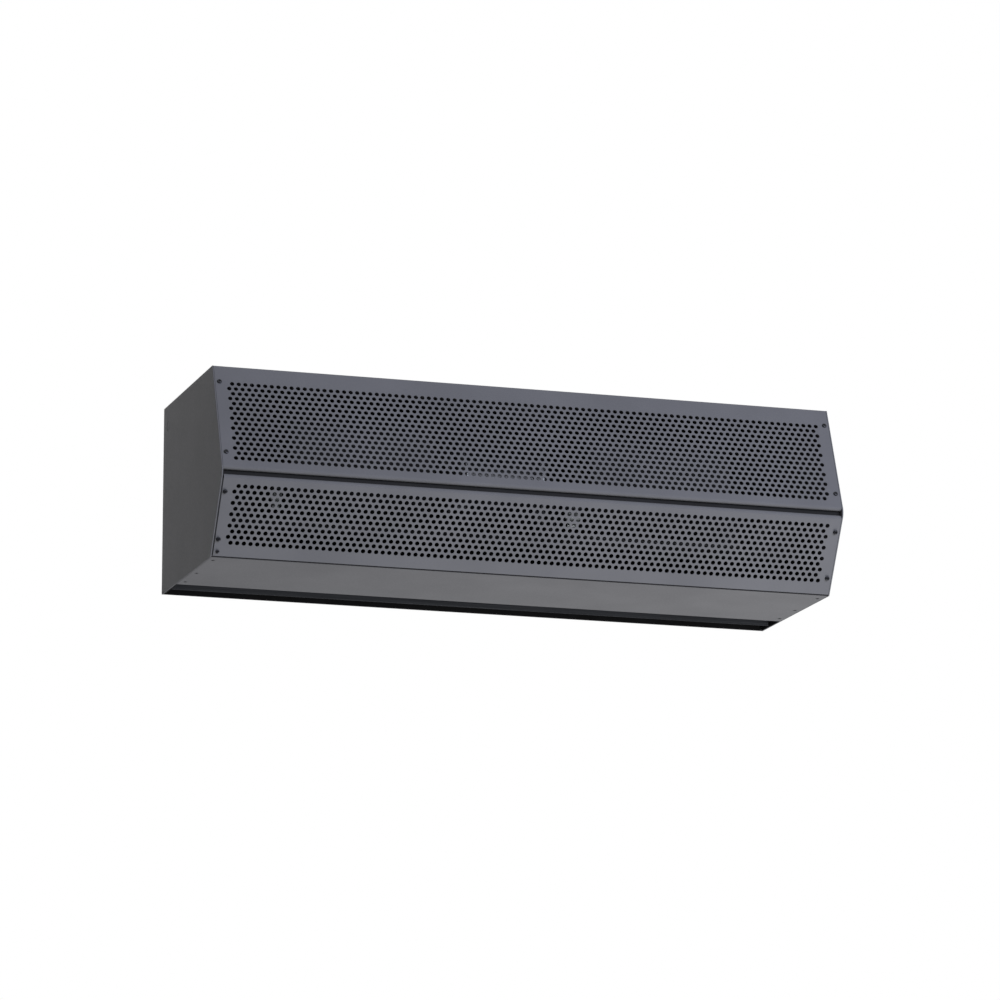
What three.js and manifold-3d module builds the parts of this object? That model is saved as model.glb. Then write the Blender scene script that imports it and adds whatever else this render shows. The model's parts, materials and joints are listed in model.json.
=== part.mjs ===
// A wall-mounted door air curtain: a folded sheet casing with a pointed, perforated front,
// two double-inlet blowers on one motor shaft, and a discharge slot with a tilting vane.
// Units are millimetres. X runs along the width, the front faces -Y and Z is up.
// The origin is the centre of the face that lies against the wall.
import * as THREE from "three";
import { mergeVertices } from "three/addons/utils/BufferGeometryUtils.js";
import Module from "manifold-3d";

const wasm = await Module();
wasm.setup();

// ---- Driving dimensions: casing ----
const width = 914.4; // end face to end face
const height = 272.5;
const bodyDepth = 276.5; // wall face to the top front edge
const noseReach = 62.5; // nose beyond the top front edge
const noseHeight = 108.8; // nose above the underside
const noseRadius = 19;
const slotDepth = 76; // discharge slot, front edge to wall face
const sheet = 1.2;
const gap = 0.3; // between pieces that touch
const bendRadius = 1.2; // inside radius of a fold
const rimWidth = 1.8; // edge of an end plate beside the skins
const rimChamfer = 0.5;
const rimDepth = 6; // from the outline to the pressed-in web of an end plate
const endWeb = 1.5;
const flangeWidth = 16; // end plate flanges that the skins are screwed to
const noseGap = 9; // open joint between the two intake panels
const noseLip = 6;
const noseRoll = 3; // inside radius of the panel edges that roll into the joint
const noseOpening = 11; // cut in the end plate flanges, above and below the nose's centre
const topReturn = 15; // fold of the upper panel over the top
const railHeight = 22.8; // channel behind the nose
const railFlange = 19;
const lowerEndGap = 2; // between the lower panel's left end and the rim
const seamGap = 1.8; // between lower panel and bottom plate
const seamRise = 2; // from the lower panel's foot down to the corner
const skinLip = 12;
const mouthLip = 14;
const mouthRadius = 2.5;

// ---- Driving dimensions: perforation and panel screws ----
const holeDiameter = 6.35;
const holePitch = 9.525;
const holesPerRow = 92;
const upperRows = 16;
const lowerRows = 11;
const upperFirstRow = 28.9; // down the slope from the top edge
const lowerFirstRow = 20.7; // down the slope from the nose
const fieldCoarseness = 5; // the solids join this many pitches into one larger hole
const screwInset = 8.2; // from an end face
const screwBelowTop = 26.6; // these four lie along the slopes
const screwAboveNose = 31.7;
const screwBelowNose = 29.5;
const screwAboveBottom = 26.5;
const screwShank = 3.8;
const screwHead = 6.6;
const screwHeadHeight = 1.8;
const screwLength = 8;
const screwClearance = 0.4;

// ---- Driving dimensions: blowers ----
const axisHeight = 18; // shaft above the middle of the wall face
const wheelRadius = 72;
const wheelWidth = 186;
const bladeCount = 24;
const bladeDepth = 12;
const bladeThickness = 1;
const bladeLead = 8; // degrees that a blade's tip leans forward
const tongueClearance = 7; // wheel to housing at the tongue
const scrollGrowth = 42; // how much the scroll widens to its outlet
const tongueAngle = 45; // degrees below the axis, at the rear
const tongueRadius = 3;
const scrollSheet = 1;
const wheelEndClearance = 11; // wheel to housing side
const housingOffset = 118; // middle of the part to a housing's inner side
const housingBack = 5; // wall face to housing
const inletThroat = 56;
const inletFlare = 12;
const inletReach = 6;
const inletSheet = 1.2;
const footWidth = 12;
const hubRadius = 16;
const hubLength = 36;

// ---- Driving dimensions: motor ----
const shaftDiameter = 12.7;
const shaftOverrun = 10; // shaft past a wheel hub
const motorRadius = 60;
const motorLength = 110;
const motorSheet = 2;
const bellReach = 12;
const bellSheet = 3;
const bellShoulder = 48; // outer radius of a bell's flat end
const bellDraft = 1.2; // how much further in its inside lies
const hubBossRadius = 19;
const hubBossLength = 18;
const bearingRadius = 15;
const bearingWidth = 11;
const rotorRadius = 32;
const coreLength = 62;
const airGap = 0.5;
const windingReach = 14;
const windingInside = 4; // from the stator's bore to the end turns
const windingOutside = 5; // from the end turns to the shell
const isolatorThickness = 5;
const isolatorWidth = 11;
const cradleSheet = 2.5;
const cradleDepth = 84;
const strapSheet = 1.5;
const strapEar = 9;

// ---- Driving dimensions: nozzle, vane and wiring ----
const deckSheet = 1.5;
const deckFrontMargin = 12;
const vaneChord = 40;
const vaneThickness = 7;
const vaneTipClearance = 0.8; // above the underside
const vanePivotRadius = 3;
const vanePivotDepth = 18;
const vaneWasherRadius = 6;
const vaneWasherThickness = 1;
const pivotPlateSheet = 1.5;
const boxSize = [88, 80, 46];
const leadDiameter = 7;
const plugRadius = 10.5;
const plugLip = 2.5;
const plugFlange = 1;
const poleCount = 5; // of the terminal block
const polePitch = 9;
const poleDepth = 20;
const poleBase = 7;
const finHeight = 14;
const finThickness = 1.5;
const capacitorRadius = 17.5;
const capacitorLength = 70;
const capacitorRim = 2; // rolled rim at its terminal end
const terminalLength = 8;
const terminalWidth = 6;
const terminalThickness = 1;
const capacitorBelowTop = 54.25;
const clipSheet = 1;
const clipWidth = 14;
const clipFoot = 16;
const keyholeHead = 13;
const keyholeNeck = 7;
const keyholeRise = 14;
const keyholeBelowTop = 40;
const keyholeFromEnd = 50;
const keyholeFromMiddle = 85;

// ---- Values worked out from the driving dimensions ----
const top = height / 2;
const bottom = -height / 2;
const skin = sheet + gap; // depth of the recess that a skin lies in
const inner = skin + sheet + gap; // first free depth behind the end plate flanges
const endFace = width / 2;
const skinEnd = endFace - rimWidth - gap;
const lipEnd = endFace - rimWidth - flangeWidth - gap;
const tongueReach = wheelRadius + tongueClearance;
const outletReach = tongueReach + scrollGrowth;
const scrollTravel = 360 - tongueAngle;
const axisDepth = -(housingBack + scrollSheet + outletReach);
const housingWidth = wheelWidth + 2 * wheelEndClearance;
const wheelMiddle = housingOffset + housingWidth / 2;
const deckTop = axisHeight - scrollReach(-90) - scrollSheet - 2 * gap;
const deckFront = axisDepth - scrollReach(180) - deckFrontMargin;
const vanePivot = [-slotDepth / 2, bottom + vaneTipClearance + vaneChord / 2];
const rowPitch = (holePitch * Math.sqrt(3)) / 2;
const shaftRadius = shaftDiameter / 2;

// Distance from the shaft to the scroll at an angle in degrees: 0 is the rear, 90 the top.
function scrollReach(angle) {
  const travel = (360 - tongueAngle - angle) % 360;
  return tongueReach + (scrollGrowth * travel) / scrollTravel;
}

// ---- Plane geometry, on [y, z] pairs unless a function says otherwise ----
const degrees = (angle) => (angle * Math.PI) / 180;
const add = (a, b) => [a[0] + b[0], a[1] + b[1]];
const scaled = (a, k) => [a[0] * k, a[1] * k];
const minus = (a, b) => [a[0] - b[0], a[1] - b[1]];
const leftOf = (a) => [-a[1], a[0]];
const unit = (a) => scaled(a, 1 / Math.hypot(a[0], a[1]));
const cross = (a, b) => a[0] * b[1] - a[1] * b[0];
const dot = (a, b) => a[0] * b[0] + a[1] * b[1];
const polar = (centre, radius, angle) =>
  add(centre, [radius * Math.cos(degrees(angle)), radius * Math.sin(degrees(angle))]);

function arc(centre, radius, from, to, steps) {
  const points = [];
  for (let i = 0; i <= steps; i++) {
    points.push(polar(centre, radius, from + ((to - from) * i) / steps));
  }
  return points;
}

// A closed outline, run counterclockwise, moved inwards by a distance.
function insetOutline(points, distance) {
  return points.map((point, i) => {
    const before = points[(i + points.length - 1) % points.length];
    const after = points[(i + 1) % points.length];
    const normalIn = leftOf(unit(minus(point, before)));
    const normalOut = leftOf(unit(minus(after, point)));
    return add(point, mitre(normalIn, normalOut, distance));
  });
}

function mitre(normalA, normalB, distance) {
  const sum = add(normalA, normalB);
  const spread = 1 + normalA[0] * normalB[0] + normalA[1] * normalB[1];
  return scaled(sum, distance / spread);
}

// The section of a folded sheet. The path is one face, the metal lies to its left,
// and every point but the first and last takes the fold radius given as its third value.
function foldedSection(path, thickness) {
  const face = [];
  const back = [];
  path.forEach((point, i) => {
    const before = path[i - 1];
    const after = path[i + 1];
    const normalIn = before && leftOf(unit(minus(point, before)));
    const normalOut = after && leftOf(unit(minus(after, point)));
    if (!before || !after) {
      face.push(point);
      back.push(add(point, scaled(normalIn || normalOut, thickness)));
    } else if (!point[2]) {
      face.push(point);
      back.push(add(point, mitre(normalIn, normalOut, thickness)));
    } else {
      foldPoints(point, normalIn, normalOut, thickness, face, back);
    }
  });
  return [...face, ...back.reverse()].map((point) => [point[0], point[1]]);
}

// Adds the arc of one fold to both faces of a folded sheet.
function foldPoints(corner, normalIn, normalOut, thickness, face, back) {
  const turn = Math.sign(cross(normalIn, normalOut));
  const faceRadius = turn > 0 ? corner[2] + thickness : corner[2];
  const centre = add(corner, mitre(normalIn, normalOut, turn * faceRadius));
  const steps = 3;
  for (let i = 0; i <= steps; i++) {
    const blend = unit(add(scaled(normalIn, 1 - i / steps), scaled(normalOut, i / steps)));
    const facePoint = add(centre, scaled(blend, -turn * faceRadius));
    face.push(facePoint);
    back.push(add(facePoint, scaled(blend, thickness)));
  }
}

// ---- Solids ----
function shapeOf(points) {
  return new THREE.Shape(points.map((point) => new THREE.Vector2(point[0], point[1])));
}

function extruded(points, depth, options = {}) {
  return new THREE.ExtrudeGeometry(shapeOf(points), {
    depth,
    bevelEnabled: false,
    steps: 1,
    ...options,
  });
}

// Turns a solid drawn in X and Y and grown along Z into one grown along another axis.
const growAlongX = new THREE.Matrix4().set(0, 0, 1, 0, 1, 0, 0, 0, 0, 1, 0, 0, 0, 0, 0, 1);
const growAlongY = new THREE.Matrix4().set(1, 0, 0, 0, 0, 0, -1, 0, 0, 1, 0, 0, 0, 0, 0, 1);

// A [y, z] outline grown along X from x0 to x1.
function alongX(points, x0, x1) {
  return extruded(points, x1 - x0).applyMatrix4(growAlongX).translate(x0, 0, 0);
}

// An [x, z] outline grown from y0 forwards to y1, which is the lower value.
function alongY(points, y0, y1) {
  return extruded(points, y0 - y1).applyMatrix4(growAlongY).translate(0, y0, 0);
}

function alongZ(points, z0, z1) {
  return extruded(points, z1 - z0).translate(0, 0, z0);
}

function block(low, high) {
  const size = high.map((value, i) => value - low[i]);
  const middle = high.map((value, i) => (value + low[i]) / 2);
  return new THREE.BoxGeometry(...size).translate(...middle);
}

// A ring or disc round the X axis from [radius, x] pairs, centred on [y, z].
function turnedX(profile, centre, segments = 24) {
  const points = profile.map((point) => new THREE.Vector2(point[0], point[1]));
  return new THREE.LatheGeometry(points, segments)
    .rotateZ(-Math.PI / 2)
    .translate(0, centre[0], centre[1]);
}

function ringX(innerRadius, outerRadius, x0, x1, centre, segments = 24) {
  const profile = [
    [innerRadius, x0],
    [outerRadius, x0],
    [outerRadius, x1],
    [innerRadius, x1],
    [innerRadius, x0],
  ];
  return turnedX(profile, centre, segments);
}

function rodX(radius, x0, x1, centre, segments = 16) {
  return new THREE.CylinderGeometry(radius, radius, x1 - x0, segments)
    .rotateZ(-Math.PI / 2)
    .translate((x0 + x1) / 2, centre[0], centre[1]);
}

// A closed mesh as a boolean solid, with its faces turned outwards.
function solidFrom(geometry) {
  const bare = geometry.clone();
  bare.deleteAttribute("normal");
  bare.deleteAttribute("uv");
  const merged = mergeVertices(bare, 1e-4);
  const vertProperties = merged.attributes.position.array;
  const triVerts = new Uint32Array(merged.index.array);
  const solid = new wasm.Manifold(new wasm.Mesh({ numProp: 3, vertProperties, triVerts }));
  return solid.volume() < 0 ? solidFrom(flipped(merged)) : solid;
}

function flipped(indexed) {
  const turned = indexed.clone();
  const order = turned.index.array;
  for (let i = 0; i < order.length; i += 3) {
    [order[i + 1], order[i + 2]] = [order[i + 2], order[i + 1]];
  }
  return turned;
}

function geometryFrom(solid) {
  const mesh = solid.getMesh();
  const positions = new Float32Array(mesh.numVert * 3);
  for (let i = 0; i < mesh.numVert; i++) {
    positions.set(mesh.vertProperties.subarray(i * mesh.numProp, i * mesh.numProp + 3), i * 3);
  }
  const geometry = new THREE.BufferGeometry();
  geometry.setAttribute("position", new THREE.BufferAttribute(positions, 3));
  geometry.setIndex(new THREE.BufferAttribute(mesh.triVerts, 1));
  return geometry;
}

function joined(...geometries) {
  return geometryFrom(geometries.map(solidFrom).reduce((whole, piece) => whole.add(piece)));
}

function cut(geometry, ...tools) {
  const whole = solidFrom(geometry);
  return geometryFrom(tools.map(solidFrom).reduce((rest, tool) => rest.subtract(tool), whole));
}

function mirroredX(geometry) {
  const other = geometry.index ? geometry.clone() : mergeVertices(geometry.clone(), 1e-4);
  return flipped(other.scale(-1, 1, 1));
}

// ---- Finishes ----
const finish = (color, roughness, metalness) =>
  new THREE.MeshStandardMaterial({ color, roughness, metalness });
const greyCoat = finish("#6c6e74", 0.5, 0.2);
const blackCoat = finish("#141516", 0.7, 0.1);
const galvanised = finish("#a9adb1", 0.45, 0.9);
const darkAluminium = finish("#45474b", 0.45, 0.6);
const castGrey = finish("#8b8e92", 0.6, 0.7);
const motorBlack = finish("#202226", 0.5, 0.3);
const steel = finish("#8f9296", 0.35, 0.95);
const copper = finish("#a2552c", 0.45, 0.8);
const rubber = finish("#17171a", 0.85, 0);
const blackPlastic = finish("#1c1d1f", 0.55, 0);
const screwBlack = finish("#2b2c2f", 0.4, 0.8);

const airCurtain = new THREE.Group();
airCurtain.name = "air_curtain";

function place(name, geometry, material) {
  const mesh = new THREE.Mesh(geometryFrom(solidFrom(geometry)), material);
  mesh.name = name;
  airCurtain.add(mesh);
}

function placePair(name, geometry, material) {
  place("right_" + name, geometry, material);
  place("left_" + name, mirroredX(geometry), material);
}

// ---- The casing's outline and its two slopes ----
const frontTop = [-bodyDepth, top];
const nosePoint = [-bodyDepth - noseReach, bottom + noseHeight];
const frontFoot = [-bodyDepth, bottom];
const outline = [[0, bottom], [0, top], frontTop, nosePoint, frontFoot];
const noseCentre = noseOf(insetOutline(outline, noseRadius));
const upperSlope = slopeFrom(frontTop, nosePoint);
const lowerSlope = slopeFrom(nosePoint, frontFoot);
const upperAngle = 180 - Math.abs(upperSlope.lean);
const lowerAngle = 180 + Math.abs(lowerSlope.lean);
const gapAngle = ((noseGap / noseRadius) * 180) / Math.PI;
const gapMiddle = (upperAngle + lowerAngle) / 2;
const upperScrews = [screwBelowTop, upperSlope.length - screwAboveNose];
const lowerScrews = [screwBelowNose, lowerSlope.length - screwAboveBottom];

function slopeFrom(start, end) {
  const along = unit(minus(end, start));
  const outward = scaled(leftOf(along), -1);
  const lean = (Math.atan2(outward[1], -outward[0]) * 180) / Math.PI;
  return { start, along, outward, lean, length: Math.hypot(...minus(end, start)) };
}

function noseOf(points) {
  return points[outline.indexOf(nosePoint)];
}

function onSlope(slope, distance, height = 0) {
  return add(add(slope.start, scaled(slope.along, distance)), scaled(slope.outward, height));
}

// The casing's outline moved inwards, with its nose rounded.
function roundedOutline(inset) {
  const points = insetOutline(outline, inset);
  const radius = noseRadius - inset;
  const nose = arc(noseCentre, radius, upperAngle, lowerAngle, 8);
  return points.flatMap((point) => (point === noseOf(points) ? nose : [point]));
}

// ---- Casing ----
function endPlate() {
  const rim = extruded(roundedOutline(rimChamfer), rimWidth - 2 * rimChamfer, {
    bevelEnabled: true,
    bevelThickness: rimChamfer,
    bevelSize: rimChamfer,
    bevelSegments: 2,
  });
  rim.applyMatrix4(growAlongX).translate(endFace - rimWidth + rimChamfer, 0, 0);
  const flangeStart = endFace - rimWidth - flangeWidth;
  const flangeOutside = alongX(roundedOutline(skin), flangeStart, endFace - rimWidth + 1);
  const pocket = alongX(roundedOutline(skin + sheet), flangeStart - 1, endFace - rimWidth);
  const web = alongX(roundedOutline(rimDepth), flangeStart - 1, endFace - endWeb);
  const plate = cut(joined(rim, flangeOutside), pocket, web);
  return cut(plate, ...flangeOpenings(flangeStart), ...panelScrewHoles(1));
}

// The flanges stop at the open nose joint, at the corner folds and at the discharge slot.
function flangeOpenings(flangeStart) {
  const x0 = flangeStart - 1;
  const x1 = endFace - rimWidth;
  const slotFront = -slotDepth - skin - skinLip - gap;
  return [
    noseBlock(x0, x1),
    block([x0, slotFront, bottom - 1], [x1, -inner + gap / 2, bottom + inner + sheet]),
  ];
}

// The space behind the nose joint that the flanges leave free.
function noseBlock(x0, x1) {
  const front = noseCentre[0] - noseRadius;
  return block([x0, front, noseCentre[1] - noseOpening],
    [x1, front + noseRadius / 2, noseCentre[1] + noseOpening]);
}

// Removes from a skin everything but its face where an end plate flange lies behind it.
function clearOfFlanges(geometry) {
  const behind = alongX(insetOutline(outline, sheet + gap / 2), lipEnd, endFace);
  const zone = cut(behind, noseBlock(lipEnd - 1, endFace + 1));
  return cut(geometry, zone, mirroredX(zone));
}

function screwHole(side, slope, distance) {
  const at = onSlope(slope, distance, -screwLength / 2);
  return new THREE.CylinderGeometry(
    screwShank / 2 + screwClearance, screwShank / 2 + screwClearance, 2 * screwLength, 12)
    .rotateX(Math.atan2(slope.outward[1], slope.outward[0]))
    .translate(side * (endFace - screwInset), at[0], at[1]);
}

function panelScrewHoles(side) {
  return [
    ...upperScrews.map((distance) => screwHole(side, upperSlope, distance)),
    ...lowerScrews.map((distance) => screwHole(side, lowerSlope, distance)),
  ];
}

// A field of hexagonal holes that fills the real field, at a coarser pitch.
function holeField(slope, rows, firstRow) {
  const pitch = holePitch * fieldCoarseness;
  const step = rowPitch * fieldCoarseness;
  const radius = (holeDiameter * fieldCoarseness) / 2;
  const fieldHeight = (rows - 1) * rowPitch + holeDiameter;
  const fieldWidth = (holesPerRow - 0.5) * holePitch + holeDiameter;
  const coarseRows = Math.floor((fieldHeight - 2 * radius) / step) + 1;
  const columns = Math.floor((fieldWidth - 2 * radius - pitch / 2) / pitch) + 1;
  const middle = firstRow + ((rows - 1) * rowPitch) / 2;
  const tools = [];
  for (let row = 0; row < coarseRows; row++) {
    const distance = middle + (row - (coarseRows - 1) / 2) * step;
    const shift = ((row % 2) - 0.5) * (pitch / 2);
    const at = onSlope(slope, distance, -sheet / 2);
    for (let column = 0; column < columns; column++) {
      const x = (column - (columns - 1) / 2) * pitch + shift;
      tools.push(hexagonTool(radius, slope, x, at));
    }
  }
  return tools;
}

function hexagonTool(radius, slope, x, at) {
  return new THREE.CylinderGeometry(radius, radius, 4 * sheet, 6)
    .rotateX(Math.atan2(slope.outward[1], slope.outward[0]))
    .translate(x, at[0], at[1]);
}

// The point where a slope meets one side of the open joint.
function lipCorner(slope, gapEdge) {
  const way = polar([0, 0], 1, gapEdge);
  const reach = dot(minus(slope.start, noseCentre), slope.outward);
  return add(noseCentre, scaled(way, reach / dot(way, slope.outward)));
}

// Both intake panels roll inwards at the open joint.
function upperPanel() {
  const gapEdge = gapMiddle - gapAngle / 2;
  const path = [
    [-bodyDepth + topReturn, top],
    [-bodyDepth, top, bendRadius],
    [...lipCorner(upperSlope, gapEdge), noseRoll],
    polar(noseCentre, noseRadius - noseLip, gapEdge),
  ];
  const panel = clearOfFlanges(alongX(foldedSection(path, sheet), -skinEnd, skinEnd));
  const holes = holeField(upperSlope, upperRows, upperFirstRow);
  return cut(panel, ...holes, ...upperScrews.flatMap((distance) => bothEnds(upperSlope, distance)));
}

function lowerPanel() {
  const gapEdge = gapMiddle + gapAngle / 2;
  const path = [
    polar(noseCentre, noseRadius - noseLip, gapEdge),
    [...lipCorner(lowerSlope, gapEdge), noseRoll],
    onSlope(lowerSlope, lowerSlope.length - seamRise),
  ];
  const leftEnd = rimWidth + lowerEndGap - endFace;
  const panel = clearOfFlanges(alongX(foldedSection(path, sheet), leftEnd, skinEnd));
  const holes = holeField(lowerSlope, lowerRows, lowerFirstRow);
  return cut(panel, ...holes, ...lowerScrews.flatMap((distance) => bothEnds(lowerSlope, distance)));
}

const bothEnds = (slope, distance) => [-1, 1].map((side) => screwHole(side, slope, distance));

function topCover() {
  const front = -bodyDepth + topReturn + gap;
  const path = [
    [-skin, top - skinLip],
    [-skin, top, bendRadius],
    [front, top, bendRadius],
    [front, top - skinLip],
  ];
  return clearOfFlanges(alongX(foldedSection(path, sheet), -skinEnd, skinEnd));
}

function bottomPlate() {
  const front = -bodyDepth + seamGap;
  const path = [
    [front, bottom + skinLip],
    [front, bottom, bendRadius],
    [-slotDepth, bottom, mouthRadius],
    [-slotDepth, bottom + mouthLip],
  ];
  return clearOfFlanges(alongX(foldedSection(path, sheet), -skinEnd, skinEnd));
}

// Keyhole slots take the heads of wall screws, and the part drops on to their shanks.
function keyholeOutline(x, z) {
  const neck = keyholeNeck / 2;
  const head = keyholeHead / 2;
  const neckAngle = (Math.acos(neck / head) * 180) / Math.PI;
  return [
    ...arc([x, z + keyholeRise], neck, 0, 180, 6),
    ...arc([x, z], head, 180 - neckAngle, 360 + neckAngle, 14),
  ];
}

function backPlate() {
  const z0 = bottom + gap;
  const z1 = top - gap;
  const face = [[-skinEnd, z0], [skinEnd, z0], [skinEnd, z1], [-skinEnd, z1]];
  const places = [keyholeFromMiddle, endFace - keyholeFromEnd];
  const keyholes = places.flatMap((x) => [-x, x].map((at) =>
    alongY(keyholeOutline(at, top - keyholeBelowTop), 1, -sheet - 1)));
  return cut(alongY(face, 0, -sheet), ...keyholes);
}

// A channel behind the open nose joint, which both intake panels steady against.
function noseRail() {
  const web = noseCentre[0] - noseRadius + noseLip + 2 * gap + sheet;
  const half = railHeight / 2;
  const path = [
    [web + railFlange, noseCentre[1] + half],
    [web, noseCentre[1] + half, bendRadius],
    [web, noseCentre[1] - half, bendRadius],
    [web + railFlange, noseCentre[1] - half],
  ];
  return alongX(foldedSection(path, sheet), -skinEnd, skinEnd);
}

// ---- Panel screws ----
function panelScrew(side, slope, distance) {
  const head = screwHead / 2;
  const shank = screwShank / 2;
  const profile = [
    [0, -screwLength],
    [shank, -screwLength],
    [shank, gap],
    [head, gap],
    [head, gap + screwHeadHeight / 2],
    [head * 0.7, gap + screwHeadHeight],
    [0, gap + screwHeadHeight],
  ].map((point) => new THREE.Vector2(...point));
  const at = onSlope(slope, distance);
  return new THREE.LatheGeometry(profile, 8)
    .rotateX(Math.atan2(slope.outward[1], slope.outward[0]))
    .translate(side * (endFace - screwInset), at[0], at[1]);
}

function placeScrews(name, slope, distances) {
  distances.forEach((distance, i) => {
    place(`${name}_screw_left_${i + 1}`, panelScrew(-1, slope, distance), screwBlack);
    place(`${name}_screw_right_${i + 1}`, panelScrew(1, slope, distance), screwBlack);
  });
}

// ---- Blower deck and nozzle ----
const nozzleEnd = skinEnd - pivotPlateSheet - gap;

function outletOutline(margin) {
  const tongue = tongueDepth();
  const rear = axisDepth + outletReach;
  return [
    [housingOffset + margin, tongue + margin],
    [housingOffset + housingWidth - margin, tongue + margin],
    [housingOffset + housingWidth - margin, rear - margin],
    [housingOffset + margin, rear - margin],
  ];
}

function tongueDepth() {
  return axisDepth + tongueReach * Math.cos(degrees(tongueAngle));
}

function blowerDeck() {
  const path = [
    [-inner, deckTop],
    [deckFront, deckTop, bendRadius],
    [deckFront, deckTop - skinLip],
  ];
  const folded = alongX(foldedSection(path, deckSheet), -skinEnd, skinEnd);
  const tab = block(
    [skinEnd - deckSheet, deckFront + skinLip, deckTop - skinLip],
    [skinEnd, -slotDepth - skinLip, deckTop - deckSheet / 2]);
  const plate = joined(folded, tab, mirroredX(tab));
  const outlet = alongZ(outletOutline(sheet), deckTop - 2 * deckSheet, deckTop + 1);
  return cut(plate, outlet, mirroredX(outlet));
}

function nozzleFrontWall() {
  const y = -slotDepth - sheet - gap;
  const z0 = bottom + sheet + gap;
  const z1 = deckTop - deckSheet - gap;
  const path = [
    [y - skinLip, z0],
    [y, z0, bendRadius],
    [y, z1, bendRadius],
    [y - skinLip, z1],
  ];
  return alongX(foldedSection(path, sheet), -nozzleEnd, nozzleEnd);
}

function nozzleRearWall() {
  const z1 = deckTop - deckSheet - gap;
  return block([-nozzleEnd, -inner - sheet, bottom], [nozzleEnd, -inner, z1]);
}

// A side plate of the nozzle carries one end of the vane.
function pivotPlate() {
  const x1 = skinEnd;
  const low = [-slotDepth + sheet, bottom];
  const high = [-inner - sheet - gap, deckTop - deckSheet - gap];
  const face = [low, [high[0], low[1]], high, [low[0], high[1]]];
  const hole = rodX(vanePivotRadius + gap, x1 - 2 * pivotPlateSheet, x1 + 1, vanePivot);
  return cut(alongX(face, x1 - pivotPlateSheet, x1), hole);
}

// A symmetric aerofoil, blunt at the top where the air meets it and thin at its lower edge.
function vaneSection() {
  const steps = 9;
  const half = [];
  for (let i = 0; i <= steps; i++) {
    const share = (1 - Math.cos((Math.PI * i) / steps)) / 2;
    const bulge = 2.6 * Math.sqrt(share) * (1 - share) + 0.16 * share;
    half.push([(bulge * vaneThickness) / 2, vanePivot[1] + vaneChord * (0.5 - share)]);
  }
  const right = half.map((point) => [vanePivot[0] + point[0], point[1]]);
  const left = half.slice(1).map((point) => [vanePivot[0] - point[0], point[1]]);
  return [...right, ...left.reverse()];
}

const vaneEnd = skinEnd - pivotPlateSheet - vaneWasherThickness - 2 * gap;

function dischargeVane() {
  const bore = rodX(vanePivotRadius, vaneEnd - vanePivotDepth, vaneEnd + 1, vanePivot);
  return cut(alongX(vaneSection(), -vaneEnd, vaneEnd), bore, mirroredX(bore));
}

function vanePivotPin() {
  const end = skinEnd - gap;
  return rodX(vanePivotRadius - gap, vaneEnd - vanePivotDepth + gap, end, vanePivot, 16);
}

function vaneWasher() {
  const x0 = vaneEnd + gap;
  return ringX(vanePivotRadius, vaneWasherRadius, x0, x0 + vaneWasherThickness, vanePivot, 16);
}

// ---- Blower housings ----
const shaftAxis = [axisDepth, axisHeight];
const scrollFacets = 24;
const housingFoot = deckTop + gap;

// The scroll from its tongue, under the wheel, up the front and over the top to the rear.
function scrollCurve(offset) {
  const points = [];
  for (let i = 0; i <= scrollFacets; i++) {
    const angle = 360 - tongueAngle - (scrollTravel * i) / scrollFacets;
    points.push(polar(shaftAxis, scrollReach(angle % 360) + offset, angle));
  }
  return points;
}

function scrollWrapper() {
  const curve = scrollCurve(0);
  const tongue = curve[0];
  const rear = curve.at(-1);
  const path = [
    [tongue[0], housingFoot],
    [...tongue, tongueRadius],
    ...curve.slice(1),
    [rear[0], housingFoot],
  ];
  const x0 = housingOffset + sheet + gap;
  const x1 = housingOffset + housingWidth - sheet - gap;
  return alongX(foldedSection(path, scrollSheet), x0, x1);
}

function sidePlateOutline() {
  const curve = scrollCurve(scrollSheet);
  const rear = curve.at(-1);
  const belowAxis = curve.filter((point) => point[0] < axisDepth || point[1] > axisHeight);
  return [[rear[0], housingFoot], [axisDepth, housingFoot], ...belowAxis];
}

// The outer side is drawn at x0 and the foot reaches the way that the sign says.
function housingSide(x0, outward) {
  const plate = alongX(sidePlateOutline(), x0, x0 + sheet);
  const face = outward > 0 ? x0 : x0 + sheet;
  const reach = outward * (sheet + footWidth);
  const foot = block(
    [Math.min(face, face + reach), axisDepth - hubRadius, housingFoot],
    [Math.max(face, face + reach), axisDepth + outletReach, housingFoot + sheet]);
  const inlet = rodX(inletThroat + inletFlare / 2, x0 - 1, x0 + sheet + 1, shaftAxis, 28);
  return cut(joined(plate, foot), inlet);
}

// A spun ring that leads the air from the housing's side into the wheel.
function inletRing(face, inward) {
  const flare = inletThroat + inletFlare;
  const section = [
    [flare, -gap - inletSheet],
    [flare, -gap],
    [inletThroat + inletFlare / 2 - gap, -gap],
    [inletThroat + inletSheet, inletReach / 2],
    [inletThroat + inletSheet, inletReach],
    [inletThroat, inletReach],
    [inletThroat, inletReach / 2],
    [inletThroat + inletFlare / 2 - gap - inletSheet, -gap - inletSheet],
    [flare, -gap - inletSheet],
  ];
  return turnedX(section.map((point) => [point[0], face + inward * point[1]]), shaftAxis, 28);
}

// ---- Blower wheels ----
function bladeOutline(turn) {
  const root = wheelRadius - bladeDepth;
  const thickness = ((bladeThickness / wheelRadius) * 180) / Math.PI;
  return [
    polar(shaftAxis, root, turn),
    polar(shaftAxis, wheelRadius, turn - bladeLead),
    polar(shaftAxis, wheelRadius, turn - bladeLead + thickness),
    polar(shaftAxis, root, turn + thickness),
  ];
}

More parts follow.
